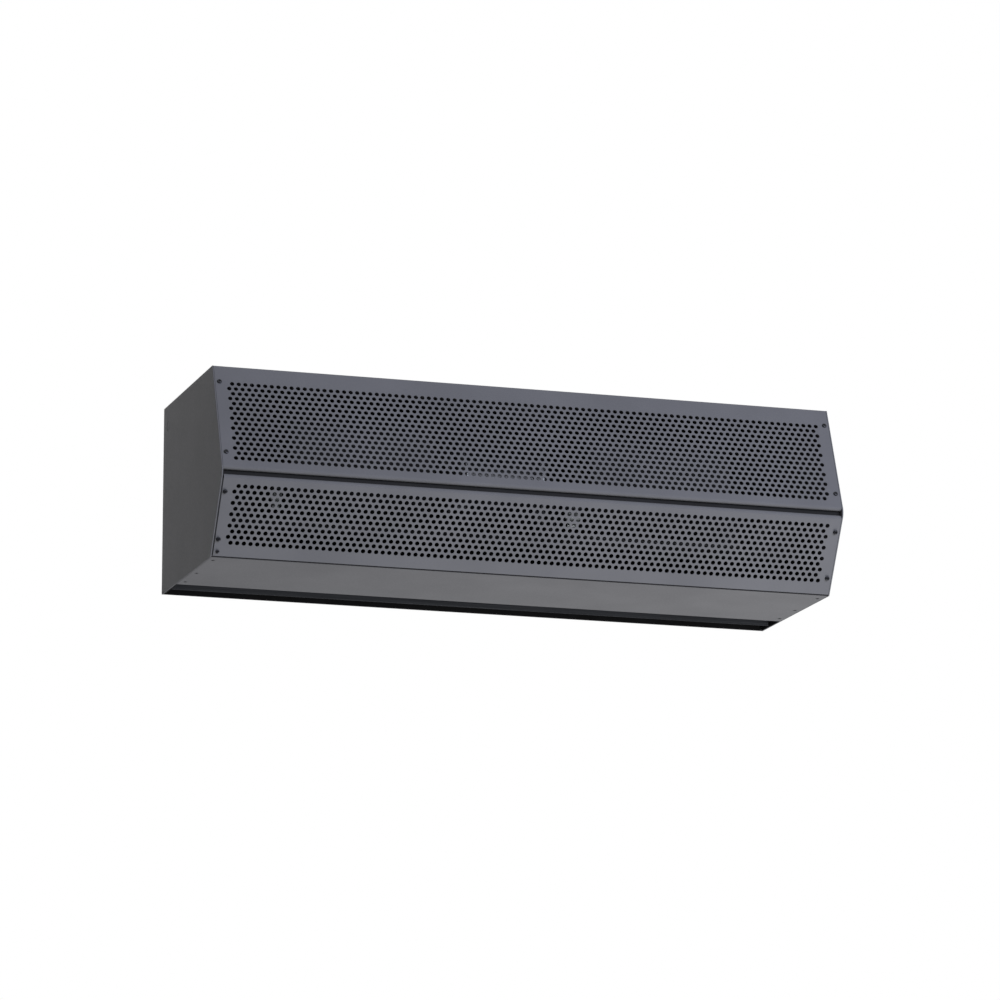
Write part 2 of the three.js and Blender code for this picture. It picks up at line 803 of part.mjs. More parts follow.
function blowerWheel() {
  const x0 = wheelMiddle - wheelWidth / 2;
  const x1 = wheelMiddle + wheelWidth / 2;
  const ringInside = wheelRadius - bladeDepth / 2;
  const blades = [];
  for (let i = 0; i < bladeCount; i++) {
    blades.push(alongX(bladeOutline((360 * i) / bladeCount), x0, x1));
  }
  const rings = [x0, x1 - 3 * bladeThickness].map((x) =>
    ringX(ringInside, wheelRadius + bladeThickness, x, x + 3 * bladeThickness, shaftAxis));
  const disc = rodX(ringInside, wheelMiddle - bladeThickness, wheelMiddle + bladeThickness,
    shaftAxis, 24);
  const hub = rodX(hubRadius, wheelMiddle - hubLength / 2, wheelMiddle + hubLength / 2, shaftAxis);
  const bore = rodX(shaftRadius + gap, x0, x1, shaftAxis);
  return cut(joined(...blades, ...rings, disc, hub), bore);
}

const outerSide = housingOffset + housingWidth - sheet;

// ---- Motor ----
const motorHalf = motorLength / 2;
const bossStart = motorHalf + bellReach;
const bossEnd = bossStart + hubBossLength;
const isolatorStart = bossEnd - isolatorWidth - gap;

function endBell() {
  const bore = bearingRadius + gap;
  const inside = motorRadius - motorSheet - gap;
  const x0 = motorHalf + gap;
  const section = [
    [motorRadius, x0],
    [motorRadius, x0 + bellSheet],
    [bellShoulder, bossStart],
    [hubBossRadius, bossStart],
    [hubBossRadius, bossEnd],
    [shaftRadius + gap, bossEnd],
    [shaftRadius + gap, bossEnd - bellSheet],
    [bore, bossEnd - bellSheet],
    [bore, bossStart - bellSheet],
    [bellShoulder - bellDraft, bossStart - bellSheet],
    [inside, x0],
    [motorRadius, x0],
  ];
  return turnedX(section, shaftAxis);
}

function motorBearing() {
  const x1 = bossEnd - bellSheet - gap;
  return ringX(shaftRadius + gap / 2, bearingRadius, x1 - bearingWidth, x1, shaftAxis, 24);
}

function isolatorRing() {
  const inside = hubBossRadius + gap;
  const x1 = isolatorStart + isolatorWidth;
  return ringX(inside, inside + isolatorThickness, isolatorStart, x1, shaftAxis, 24);
}

function motorShell() {
  const inside = motorRadius - motorSheet;
  return ringX(inside, motorRadius, -motorHalf, motorHalf, shaftAxis, 32);
}

const statorOutside = motorRadius - motorSheet - gap;
const statorInside = rotorRadius + airGap;
const coreHalf = coreLength / 2;

function stator() {
  return ringX(statorInside, statorOutside, -coreHalf, coreHalf, shaftAxis);
}

// The end turns of the windings stand out of the core as a rounded ring.
function windingRing() {
  const low = statorInside + windingInside;
  const high = statorOutside - windingOutside;
  const x0 = coreHalf + gap;
  const x1 = x0 + windingReach;
  const edge = windingReach / 3;
  const section = [
    [low, x0],
    [high, x0],
    [high, x1 - edge],
    [high - edge, x1],
    [low + edge, x1],
    [low, x1 - edge],
    [low, x0],
  ];
  return turnedX(section, shaftAxis);
}

function rotorCore() {
  return ringX(shaftRadius + gap, rotorRadius, -coreHalf, coreHalf, shaftAxis);
}

function motorShaft() {
  const end = wheelMiddle + hubLength / 2 + shaftOverrun;
  return rodX(shaftRadius, -end, end, shaftAxis, 16);
}

const isolatorOutside = hubBossRadius + gap + isolatorThickness;
const cradleFoot = deckTop + gap;

function motorCradle() {
  const y0 = axisDepth - cradleDepth / 2;
  const y1 = axisDepth + cradleDepth / 2;
  const x1 = isolatorStart + isolatorWidth / 2 + cradleSheet / 2;
  const x0 = x1 - cradleSheet;
  const base = block([-x1, y0, cradleFoot], [x1, y1, cradleFoot + cradleSheet]);
  const saddle = isolatorOutside + gap;
  const upright = [
    [y0, cradleFoot],
    [y1, cradleFoot],
    [axisDepth + saddle + strapSheet + strapEar, axisHeight],
    ...arc(shaftAxis, saddle, 0, -180, 12),
    [axisDepth - saddle - strapSheet - strapEar, axisHeight],
  ];
  const right = alongX(upright, x0, x1);
  return joined(base, right, mirroredX(right));
}

// A strap closes the top half of each rubber ring and is screwed to the cradle's ears.
function isolatorStrap() {
  const radius = isolatorOutside + gap;
  const ear = radius + strapSheet + strapEar;
  const foot = axisHeight + gap;
  const x1 = isolatorStart + isolatorWidth;
  const path = [
    [axisDepth + ear, foot],
    [axisDepth + radius, foot],
    ...arc(shaftAxis, radius, 4, 176, 12),
    [axisDepth - radius, foot],
    [axisDepth - ear, foot],
  ];
  const outside = [
    [axisDepth - ear, foot + strapSheet],
    ...arc(shaftAxis, radius + strapSheet, 174, 6, 12),
    [axisDepth + ear, foot + strapSheet],
  ];
  return alongX([...path, ...outside], isolatorStart, x1);
}

// ---- Wiring ----
const boxLow = [
  endFace - endWeb - plugFlange - 2 * gap - boxSize[0],
  deckFront + 2 * leadDiameter,
  deckTop + gap,
];
const boxHigh = boxLow.map((value, i) => value + boxSize[i]);
const plugCentre = [(boxLow[1] + boxHigh[1]) / 2, (boxLow[2] + boxHigh[2]) / 2];

function junctionBox() {
  const outside = block(boxLow, boxHigh);
  const inside = block(
    boxLow.map((value) => value + sheet),
    [boxHigh[0] - sheet, boxHigh[1] - sheet, boxHigh[2] + 1]);
  const conduit = rodX(plugRadius, boxHigh[0] - 2 * sheet, boxHigh[0] + 1, plugCentre);
  const entry = rodX(leadDiameter / 2 + gap, boxLow[0] - 1, boxLow[0] + 2 * sheet, leadEntry());
  return cut(outside, inside, conduit, entry);
}

function junctionBoxCover() {
  const z0 = boxHigh[2] + gap;
  return block([boxLow[0], boxLow[1], z0], [boxHigh[0], boxHigh[1], z0 + sheet]);
}

function leadEntry() {
  return [boxLow[1] + boxSize[1] / 3, boxLow[2] + boxSize[2] / 2];
}

// A barrier strip: a bar with upright fins between its screws.
function terminalBlock() {
  const x = (boxLow[0] + boxHigh[0]) / 2;
  const y = (boxLow[1] + boxHigh[1]) / 2;
  const z = boxLow[2] + sheet + gap;
  const start = x - (polePitch * poleCount) / 2;
  const step = polePitch - finThickness / poleCount;
  const [y0, y1] = [y - poleDepth / 2, y + poleDepth / 2];
  const base = block([start, y0, z], [start + polePitch * poleCount, y1, z + poleBase]);
  const fins = [];
  for (let i = 0; i <= poleCount; i++) {
    const at = start + i * step;
    fins.push(block([at, y0, z + poleBase / 2], [at + finThickness, y1, z + finHeight]));
  }
  return joined(base, ...fins);
}

// The motor's lead runs along the front of the deck into the junction box.
function motorLead() {
  const radius = leadDiameter / 2;
  const entry = leadEntry();
  const low = deckTop + 1.5 * radius;
  const front = deckFront + sheet + leadDiameter;
  const start = axisDepth - motorRadius - gap;
  const points = [
    [motorHalf / 2, start, axisHeight],
    [motorHalf / 2, start - leadDiameter, axisHeight],
    [motorHalf / 2 + leadDiameter, (start + front) / 2, (axisHeight + low) / 2],
    [motorHalf, front, low + leadDiameter],
    [housingOffset, front, low],
    [housingOffset + housingWidth, front, low],
    [boxLow[0] - 4 * leadDiameter, front, low],
    [boxLow[0] - 2 * leadDiameter, (front + entry[0]) / 2, (low + entry[1]) / 2],
    [boxLow[0] - leadDiameter, entry[0], entry[1]],
    [boxLow[0] + 2 * sheet, entry[0], entry[1]],
  ].map((point) => new THREE.Vector3(...point));
  const route = new THREE.CatmullRomCurve3(points, false, "centripetal");
  const section = arc([0, 0], radius, 0, 315, 7);
  return extruded(section, 1, { steps: 40, extrudePath: route });
}

function plugHole() {
  return rodX(plugRadius + gap, endFace - rimWidth, endFace + 1, plugCentre, 24);
}

// A snap-in plug closes the conduit hole, flush with the end face.
function conduitPlug() {
  const inside = endFace - endWeb - gap;
  const section = [
    [0, endFace],
    [plugRadius, endFace],
    [plugRadius, inside],
    [plugRadius + plugLip, inside],
    [plugRadius + plugLip, inside - plugFlange],
    [0, inside - plugFlange],
  ];
  return turnedX(section, plugCentre, 24);
}

const capacitorAxis = [-skin - capacitorRadius, top - capacitorBelowTop];

function capacitor() {
  const half = capacitorLength / 2;
  const can = turnedX([
    [0, -half],
    [capacitorRadius, -half],
    [capacitorRadius, half - 1.5 * capacitorRim],
    [capacitorRadius - capacitorRim, half - capacitorRim],
    [capacitorRadius - capacitorRim, half],
    [0, half],
  ], capacitorAxis, 24);
  const [y, z] = capacitorAxis;
  const blades = [-terminalWidth, terminalWidth].map((offset) => block(
    [half - 1, y - terminalWidth / 2, z + offset - terminalThickness / 2],
    [half + terminalLength, y + terminalWidth / 2, z + offset + terminalThickness / 2]));
  return joined(can, ...blades);
}

// A saddle clip holds the capacitor against the inside of the back plate.
function capacitorClip() {
  const reach = capacitorRadius + gap;
  const [y, z] = capacitorAxis;
  const back = -skin;
  const path = [
    [back, z + reach + clipFoot],
    [back, z + reach, bendRadius],
    [y, z + reach],
    ...arc(capacitorAxis, reach, 97.5, 262.5, 11),
    [y, z - reach],
    [back, z - reach, bendRadius],
    [back, z - reach - clipFoot],
  ];
  return alongX(foldedSection(path.reverse(), clipSheet), -clipWidth / 2, clipWidth / 2);
}

// ---- Assembly ----
place("right_end_plate", cut(endPlate(), plugHole()), greyCoat);
place("left_end_plate", mirroredX(endPlate()), greyCoat);
place("top_cover", topCover(), greyCoat);
place("back_plate", backPlate(), greyCoat);
place("bottom_plate", bottomPlate(), greyCoat);
place("upper_intake_panel", upperPanel(), greyCoat);
place("lower_intake_panel", lowerPanel(), greyCoat);
place("nose_rail", noseRail(), blackCoat);
placeScrews("upper_panel", upperSlope, upperScrews);
placeScrews("lower_panel", lowerSlope, lowerScrews);
place("blower_deck", blowerDeck(), blackCoat);
place("nozzle_front_wall", nozzleFrontWall(), blackCoat);
place("nozzle_rear_wall", nozzleRearWall(), blackCoat);
placePair("pivot_plate", pivotPlate(), blackCoat);
place("discharge_vane", dischargeVane(), darkAluminium);
placePair("vane_pivot_pin", vanePivotPin(), steel);
placePair("vane_washer", vaneWasher(), blackPlastic);
placePair("scroll_wrapper", scrollWrapper(), blackCoat);
placePair("housing_inner_side", housingSide(housingOffset, -1), blackCoat);
placePair("housing_outer_side", housingSide(outerSide, 1), blackCoat);
placePair("inner_inlet_ring", inletRing(housingOffset, 1), blackCoat);
placePair("outer_inlet_ring", inletRing(outerSide + sheet, -1), blackCoat);
placePair("blower_wheel", blowerWheel(), galvanised);
place("motor_shell", motorShell(), motorBlack);
placePair("motor_end_bell", endBell(), castGrey);
placePair("motor_bearing", motorBearing(), steel);
placePair("isolator_ring", isolatorRing(), rubber);
placePair("isolator_strap", isolatorStrap(), galvanised);
place("motor_cradle", motorCradle(), blackCoat);
place("stator_core", stator(), steel);
placePair("stator_winding", windingRing(), copper);
place("rotor_core", rotorCore(), steel);
place("motor_shaft", motorShaft(), steel);
place("junction_box", junctionBox(), blackCoat);
place("junction_box_cover", junctionBoxCover(), blackCoat);
place("terminal_block", terminalBlock(), blackPlastic);
place("motor_lead", motorLead(), blackPlastic);
place("conduit_plug", conduitPlug(), blackPlastic);
place("capacitor", capacitor(), blackPlastic);
place("capacitor_clip", capacitorClip(), galvanised);

export default airCurtain;
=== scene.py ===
"""The looks of a wall-mounted door air curtain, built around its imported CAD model.

Shapes are worked out in millimetres and written to their meshes in metres. X runs along the
width, the front faces -Y and Z is up; the origin is the middle of the face against the wall.
Sections across the width are (y, z) vectors, and each "right" piece has a mirrored "left" one.
"""

import json
import math
from bisect import bisect_right

import bmesh
import bpy
from mathutils import Matrix, Vector
from mathutils.geometry import delaunay_2d_cdt


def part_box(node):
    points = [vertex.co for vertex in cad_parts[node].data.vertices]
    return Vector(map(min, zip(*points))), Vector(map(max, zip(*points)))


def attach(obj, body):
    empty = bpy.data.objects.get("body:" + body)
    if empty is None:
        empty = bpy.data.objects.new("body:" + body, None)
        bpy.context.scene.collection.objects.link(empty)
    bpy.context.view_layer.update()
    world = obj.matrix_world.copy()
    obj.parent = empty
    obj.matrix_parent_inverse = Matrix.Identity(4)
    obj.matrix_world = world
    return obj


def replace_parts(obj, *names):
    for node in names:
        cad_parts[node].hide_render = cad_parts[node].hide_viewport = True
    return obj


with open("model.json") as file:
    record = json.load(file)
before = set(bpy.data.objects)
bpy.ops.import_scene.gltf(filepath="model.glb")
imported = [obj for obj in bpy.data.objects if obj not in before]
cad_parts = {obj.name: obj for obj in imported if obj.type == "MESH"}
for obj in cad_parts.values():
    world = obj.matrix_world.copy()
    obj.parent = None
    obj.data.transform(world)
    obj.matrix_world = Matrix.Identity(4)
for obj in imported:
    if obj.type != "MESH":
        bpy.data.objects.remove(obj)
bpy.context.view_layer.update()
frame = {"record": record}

MM = 0.001
X_AXIS = Vector((1, 0, 0))
Z_AXIS = Vector((0, 0, 1))


def node_box(name):
    """The lowest and highest corner of a CAD node, in millimetres."""
    low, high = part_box(name)
    return low / MM, high / MM


def section_centre(name):
    """The middle of a CAD node as (y, z), in millimetres."""
    low, high = node_box(name)
    return Vector(((low.y + high.y) / 2, (low.z + high.z) / 2))


# ---- Sizes of the casing ----
END_FACE = node_box("right_end_plate")[1].x
TOP, BOTTOM = node_box("right_end_plate")[1].z, node_box("right_end_plate")[0].z
BODY_DEPTH = 276.5  # wall face to the top front edge
NOSE_REACH = 62.5  # nose beyond the top front edge
NOSE_HEIGHT = 108.8  # nose above the underside
NOSE_RADIUS = 19
NOSE_GAP = 9  # open joint between the two intake panels
NOSE_LIP = 6
NOSE_ROLL = 3  # inside radius of the panel edges that roll into the joint
NOSE_OPENING = 11  # cut in the end plate flanges, above and below the nose's centre
TOP_RETURN = 15  # fold of the upper panel over the top
SLOT_DEPTH = 76  # discharge slot, front edge to wall face
SHEET = 1.2
GAP = 0.3  # between pieces that touch
BEND = 1.2  # inside radius of a fold
RIM = 1.8  # edge of an end plate beside the skins
RIM_ROUND = 0.5
RIM_DEPTH = 6  # from the outline to the pressed-in web
CORNER_RADIUS = 0.7
END_WEB = 1.5
FLANGE = 16  # end plate flanges that the skins are screwed to
SEAM_GAP = 1.8  # between lower panel and bottom plate
SEAM_RISE = 2  # from the lower panel's foot down to the corner
SHADE_STRIP_GAP = 0.1  # between a dark strip, laid as painted shade in a gap, and the metal that it lies against
SHADE_STRIP_HEIGHT = 7
SKIN_LIP = 12
MOUTH_LIP = 14
MOUTH_BEND = 2.5
RAIL_FLANGE = 19
SKIN = SHEET + GAP  # depth of the recess that a skin lies in
INNER = 2 * SKIN  # first free depth behind the flanges
SKIN_END = END_FACE - RIM - GAP

# ---- Perforation and fasteners ----
HOLE = 6.35
PITCH = 9.525
ROW_PITCH = PITCH * math.sqrt(3) / 2
HOLES_PER_ROW = 92
UPPER_ROWS, UPPER_FIRST_ROW = 16, 28.9
LOWER_ROWS, LOWER_FIRST_ROW = 11, 20.7
HOLE_SIDES = 16
SCREW_INSET = 8.2  # from an end face
SCREW_HEAD = 6.6
SCREW_RISE = 1.8
SCREW_SHANK = 3.8
SCREW_LENGTH = 8
CORNER_SCREW_INSET, CORNER_SCREW_RISE = 9.4, 8.6  # from the end face and up from the foot
INNER_HEAD, INNER_RISE, INNER_SHANK = 5.2, 1.5, 2.8  # screws of the inner sheets
SUNK_HEAD = 5.4  # flush screws of the top, back and underside
SUNK_INSET = 10  # from an end face
TOP_SCREWS = [30, 125, 220]  # from the rear edge of the top cover
FOOT_SCREWS = [20.5, 112.5, 176]  # from the front edge of the bottom plate
BACK_SCREWS = [28, 136, 244]  # up from the lower edge of the back plate
KEYHOLE_HEAD, KEYHOLE_NECK, KEYHOLE_RISE = 13, 7, 14
KEYHOLE_PLACES = (85, END_FACE - 50)  # each side of the middle
KEYHOLE_Z = TOP - 40
SHROUD_DEPTH, SHROUD_WALL = 12, 1.5
SHROUD_SIDE, SHROUD_BELOW, SHROUD_ABOVE = 3, 10, 4  # beyond the keyhole
KNOCKOUT = Vector((-26, TOP - 31))
KNOCKOUT_RADIUS, KNOCKOUT_GROOVE = 7, 0.6

# ---- Camera: the place that the photograph was taken from ----
IMAGE_PIXELS = 1000
FOCAL_PIXELS = 5397.3
CAMERA_PLACE = (-2.2682, -7.3596, -1.6617)
CAMERA_YAW = 17.484
CAMERA_PITCH = 12.407
FLOOR_HEIGHT = -3.4


def make_camera():
    data = bpy.data.cameras.new("photo_camera")
    data.sensor_width = 36
    data.lens = data.sensor_width * FOCAL_PIXELS / IMAGE_PIXELS
    camera = bpy.data.objects.new("photo_camera", data)
    camera.location = CAMERA_PLACE
    camera.rotation_euler = (math.radians(90 + CAMERA_PITCH), 0, -math.radians(CAMERA_YAW))
    bpy.context.scene.collection.objects.link(camera)
    bpy.context.scene.camera = camera


make_camera()


# ---- Plane geometry ----
def left_of(v):
    return Vector((-v.y, v.x))


def mitre(normal_a, normal_b, distance):
    return (normal_a + normal_b) * (distance / (1 + normal_a.dot(normal_b)))


def inset(points, distance):
    """A closed outline, run anticlockwise, moved inwards."""
    moved = []
    for i, point in enumerate(points):
        normal_in = left_of((point - points[i - 1]).normalized())
        normal_out = left_of((points[(i + 1) % len(points)] - point).normalized())
        moved.append(point + mitre(normal_in, normal_out, distance))
    return moved


def polar(centre, radius, angle):
    turn = math.radians(angle)
    return centre + Vector((math.cos(turn), math.sin(turn))) * radius


def arc(centre, radius, start, end, steps):
    return [polar(centre, radius, start + (end - start) * i / steps) for i in range(steps + 1)]


def circle(centre, radius, sides):
    return arc(centre, radius, 0, 360 - 360 / sides, sides - 1)


def eased(points, radius, closed=True, steps=3):
    """A path with its corners rounded to one radius, or to one radius for each point."""
    radii = radius if isinstance(radius, list) else [radius] * len(points)
    points = [Vector(p) for p in points]
    path = []
    for i, corner in enumerate(points):
        if not radii[i] or (not closed and i in (0, len(points) - 1)):
            path.append(corner)
            continue
        before = points[i - 1] - corner
        after = points[(i + 1) % len(points)] - corner
        a, b = before.normalized(), after.normalized()
        half = math.acos(max(-1, min(1, a.dot(b)))) / 2
        reach = min(radii[i] / math.tan(half), 0.45 * min(before.length, after.length))
        centre = corner + (a + b).normalized() * (reach / math.cos(half))
        start, end = corner + a * reach - centre, corner + b * reach - centre
        for k in range(steps + 1):
            path.append(centre + start.lerp(end, k / steps).normalized() * start.length)
    return path


def rectangle(low, high, radius=0.0, steps=3):
    corners = [(low[0], low[1]), (high[0], low[1]), (high[0], high[1]), (low[0], high[1])]
    return eased(corners, radius, True, steps)


# ---- The casing's outline ----
FRONT_TOP = Vector((-BODY_DEPTH, TOP))
NOSE_POINT = Vector((-BODY_DEPTH - NOSE_REACH, BOTTOM + NOSE_HEIGHT))
FRONT_FOOT = Vector((-BODY_DEPTH, BOTTOM))
OUTLINE = [Vector((0, BOTTOM)), Vector((0, TOP)), FRONT_TOP, NOSE_POINT, FRONT_FOOT]
NOSE_CENTRE = inset(OUTLINE, NOSE_RADIUS)[OUTLINE.index(NOSE_POINT)]


def casing_loop(depth):
    """The outline moved inwards, with its corners eased and its nose rounded."""
    radii = [NOSE_RADIUS - depth if p is NOSE_POINT else CORNER_RADIUS for p in OUTLINE]
    return eased(inset(OUTLINE, depth), radii, True, 12)


class Slope:
    """One of the two flat slopes of the front, measured down from its upper end."""

    def __init__(self, start, end):
        self.start = start
        self.along = (end - start).normalized()
        self.outward = -left_of(self.along)
        self.length = (end - start).length

    def at(self, distance, height=0.0):
        return self.start + self.along * distance + self.outward * height

    def angle(self):
        """The direction of the outward normal, in degrees from +Y."""
        return math.degrees(math.atan2(self.outward.y, self.outward.x)) % 360


UPPER = Slope(FRONT_TOP, NOSE_POINT)
LOWER = Slope(NOSE_POINT, FRONT_FOOT)
GAP_ANGLE = math.degrees(NOSE_GAP / NOSE_RADIUS)
GAP_MIDDLE = (UPPER.angle() + LOWER.angle()) / 2
UPPER_SCREWS = [26.6, UPPER.length - 31.7]
LOWER_SCREWS = [29.5, LOWER.length - 26.5]


# ---- Shapes: (points in millimetres, faces) ----
def joined(*shapes):
    points, faces = [], []
    for shape_points, shape_faces in shapes:
        faces += [tuple(v + len(points) for v in face) for face in shape_faces]
        points += shape_points
    return points, faces


def mirrored(shape):
    return [Vector((-p.x, p.y, p.z)) for p in shape[0]], [face[::-1] for face in shape[1]]


def placed(shape, origin, axis=Z_AXIS, spin=0.0):
    """A shape drawn round +Z, turned to stand on another axis."""
    turn = Vector(axis).to_track_quat("Z", "Y").to_matrix()
    turn = turn @ Matrix.Rotation(math.radians(spin), 3, "Z")
    return [turn @ p + Vector(origin) for p in shape[0]], shape[1]


def lathe(profile, segments=48, closed=True):
    """A shape turned round +Z from (radius, height) pairs."""
    count = len(profile)
    points, faces = [], []
    for i in range(segments):
        turn = math.tau * i / segments
        points += [Vector((r * math.cos(turn), r * math.sin(turn), h)) for r, h in profile]
        first, after = i * count, (i + 1) % segments * count
        for k in range(count if closed else count - 1):
            n = (k + 1) % count
            faces.append((first + k, first + n, after + n, after + k))
    return points, faces


def turned(profile, centre, segments=48, closed=True):
    """A ring or rod round an axis along X, from (radius, x) pairs."""
    return placed(lathe(profile, segments, closed), (0, centre.x, centre.y), X_AXIS)


def rod(centre, radius, x0, x1, sides=32, edge=0.0):
    """A round bar along X, with both ends chamfered by an edge."""
    profile = [(radius - edge, x0), (radius - edge, x1)]
    if edge:
        profile[1:1] = [(radius, x0 + edge), (radius, x1 - edge)]
    return turned([(0, x0), *profile, (0, x1)], centre, sides, False)


def lofted(loops):
    """A closed shape over loops of equally many 3-D points, flat at both ends."""
    count = len(loops[0])
    points = [p for loop in loops for p in loop]
    last = len(points) - count
    faces = [tuple(range(count)), tuple(range(len(points) - 1, last - 1, -1))]
    for row in range(0, last, count):
        for i in range(count):
            a, b = row + i, row + (i + 1) % count
            faces.append((a, b, b + count, a + count))
    return points, faces


def across(loop, x):
    """A (y, z) loop as 3-D points at one place along the width."""
    return [Vector((x, p.x, p.y)) for p in loop]


def extruded(loop, x0, x1):
    """A (y, z) loop grown along X."""
    return lofted([across(loop, x0), across(loop, x1)])


def block(low, high, ease=0.4):
    """A box with its corners eased round Z and its edges broken top and bottom."""
    size = Vector(high) - Vector(low)
    ease = min(ease, 0.3 * min(size))
    loops = []
    for height, narrow in ((0, ease), (ease, 0), (size.z - ease, 0), (size.z, ease)):
        loop = rectangle((low[0] + narrow, low[1] + narrow), (high[0] - narrow, high[1] - narrow),
                         ease + 0.01, 2)
        loops.append([Vector((p.x, p.y, low[2] + height)) for p in loop])
    return lofted(loops)


def tube(path, radius, sides=16):
    """A round tube along 3-D points, with flat ends."""
    turns = [math.tau * k / sides for k in range(sides)]
    loops = []
    side = (path[1] - path[0]).orthogonal().normalized()
    for i, place in enumerate(path):
        along = (path[min(i + 1, len(path) - 1)] - path[max(i - 1, 0)]).normalized()
        side = (side - along * side.dot(along)).normalized()
        other = along.cross(side)
        loops.append([place + (side * math.cos(t) + other * math.sin(t)) * radius for t in turns])
    return lofted(loops)


def plain_object(name, shape, unit=1.0):
    """A mesh object with merged points and outward faces."""
    mesh = bpy.data.meshes.new(name)
    mesh.from_pydata([p * unit for p in shape[0]], [], shape[1])
    tidy = bmesh.new()
    tidy.from_mesh(mesh)
    bmesh.ops.remove_doubles(tidy, verts=tidy.verts, dist=1e-3 * unit)
    bmesh.ops.recalc_face_normals(tidy, faces=tidy.faces)
    tidy.to_mesh(mesh)
    tidy.free()
    piece = bpy.data.objects.new(name, mesh)
    bpy.context.scene.collection.objects.link(piece)
    return piece


def carved(shape, *tools):
    """A closed shape with others cut out of it."""
    target = plain_object("carved", shape)
    cutters = [plain_object("cutter", tool) for tool in tools]
    for cutter in cutters:
        modifier = target.modifiers.new("carve", "BOOLEAN")
        modifier.solver = "EXACT"
        modifier.object = cutter
    result = target.evaluated_get(bpy.context.evaluated_depsgraph_get()).data
    points = [v.co.copy() for v in result.vertices]
    faces = [tuple(p.vertices) for p in result.polygons]
    for used in [target] + cutters:
        bpy.data.objects.remove(used)
    return points, faces


# ---- Folded and flat sheet ----
def folded_face(path, thickness, steps=6):
    """One face of a folded sheet: (point, way through the metal) pairs.

    The metal lies to the left of the path, and a point's third value is its fold's inside radius.
    """
    points = [Vector(p[:2]) for p in path]
    face = []
    for i, point in enumerate(points):
        radius = path[i][2] if len(path[i]) > 2 else 0
        normals = []
        if i:
            normals.append(left_of((point - points[i - 1]).normalized()))
        if i < len(points) - 1:
            normals.append(left_of((points[i + 1] - point).normalized()))
        if len(normals) == 1:
            face.append((point, normals[0]))
        elif not radius:
            face.append((point, mitre(normals[0], normals[1], 1)))
        else:
            turn = math.copysign(1, normals[0].cross(normals[1]))
            reach = radius + thickness if turn > 0 else radius
            centre = point + mitre(normals[0], normals[1], turn * reach)
            for k in range(steps + 1):
                way = normals[0].lerp(normals[1], k / steps).normalized()
                face.append((centre - way * (turn * reach), way))
    return face


def folded_loop(path, thickness, steps=6):
    """The closed section of a folded sheet."""
    face = folded_face(path, thickness, steps)
    return [p for p, _ in face] + [p + way * thickness for p, way in reversed(face)]


def travel(face):
    """How far along the face each of its points lies."""
    lengths = [0.0]
    for (a, _), (b, _) in zip(face, face[1:]):
        lengths.append(lengths[-1] + (b - a).length)
    return lengths


def inside_loop(point, loop):
    """Whether a flat pattern's point lies in a closed loop."""
    inside = False
    for a, b in zip(loop, loop[1:] + loop[:1]):
        if (a.y > point.y) != (b.y > point.y):
            inside ^= point.x < a.x + (b.x - a.x) * (point.y - a.y) / (b.y - a.y)
    return inside


def flat_triangles(outline, fold_lines, holes):
    """Triangles of a flat pattern with holes, cut along its fold lines."""
    points, edges, owners = [], [], []
    for number, loop in enumerate([outline] + holes):
        first = len(points)
        points += loop
        owners += [number - 1] * len(loop)
        edges += [(first + k, first + (k + 1) % len(loop)) for k in range(len(loop))]
    for start, end in fold_lines:
        edges.append((len(points), len(points) + 1))
        points += [start, end]
        owners += [-1, -1]
    flat, _, triangles, sources, _, _ = delaunay_2d_cdt(points, edges, [], 1, 1e-5)
    owner = [owners[s[0]] if s else -1 for s in sources]
    kept = []
    for triangle in triangles:
        held = {owner[v] for v in triangle}
        if len(held) == 1 and -1 not in held:
            middle = sum((flat[v] for v in triangle), Vector((0, 0))) / 3
            if inside_loop(middle, holes[held.pop()]):
                continue
        kept.append(triangle)
    return flat, kept


def layered(flat, triangles, to_outer, to_inner):
    """A closed sheet from a flat pattern and the places of its two faces."""
    count = len(flat)
    points = [to_outer(p) for p in flat] + [to_inner(p) for p in flat]
    faces = [tuple(t) for t in triangles]
    faces += [tuple(v + count for v in reversed(t)) for t in triangles]
    rim = {}
    for a, b, c in triangles:
        for edge in ((a, b), (b, c), (c, a)):
            if rim.pop((edge[1], edge[0]), None) is None:
                rim[edge] = True
    faces += [(b, a, a + count, b + count) for a, b in rim]
    return points, faces


def plate(outline, holes, x0, x1):
    """A flat sheet across the width, from a (y, z) outline with holes."""
    flat, triangles = flat_triangles(outline, [], holes)
    return layered(flat, triangles, lambda p: Vector((x0, p.x, p.y)),
                   lambda p: Vector((x1, p.x, p.y)))


def sheet(path, thickness, start, end, holes=(), lips=(0, 0)):
    """A folded sheet from start to end along X, with holes as loops of (x, travel).

    Lips at the path's start and end stop short of the end plate flanges.
    """
    face = folded_face(path, thickness)
    lengths = travel(face)
    low = lips[0] - SKIN if lips[0] else 0
    high = lengths[-1] - (lips[1] - SKIN if lips[1] else 0)
    edge = [(FLANGE, 0), (FLANGE, low)] if low else []
    edge += [(0, low), (0, high)]
    if high < lengths[-1]:
        edge += [(FLANGE, high), (FLANGE, lengths[-1])]
    outline = [Vector((end - x, s)) for x, s in edge]
    outline += [Vector((start + x, s)) for x, s in reversed(edge)]
    folds = []
    for s in lengths[1:-1]:
        short = 0 if low <= s <= high else FLANGE
        folds.append((Vector((start + short, s)), Vector((end - short, s))))
    flat, triangles = flat_triangles(outline, folds, list(holes))

    def at(point, through):
        i = min(max(bisect_right(lengths, point.y) - 1, 0), len(face) - 2)
        share = (point.y - lengths[i]) / (lengths[i + 1] - lengths[i])
        way = face[i][1].lerp(face[i + 1][1], share)
        place = face[i][0].lerp(face[i + 1][0], share) + way * through
        return Vector((point.x, place.x, place.y))

    return layered(flat, triangles, lambda p: at(p, 0), lambda p: at(p, thickness))


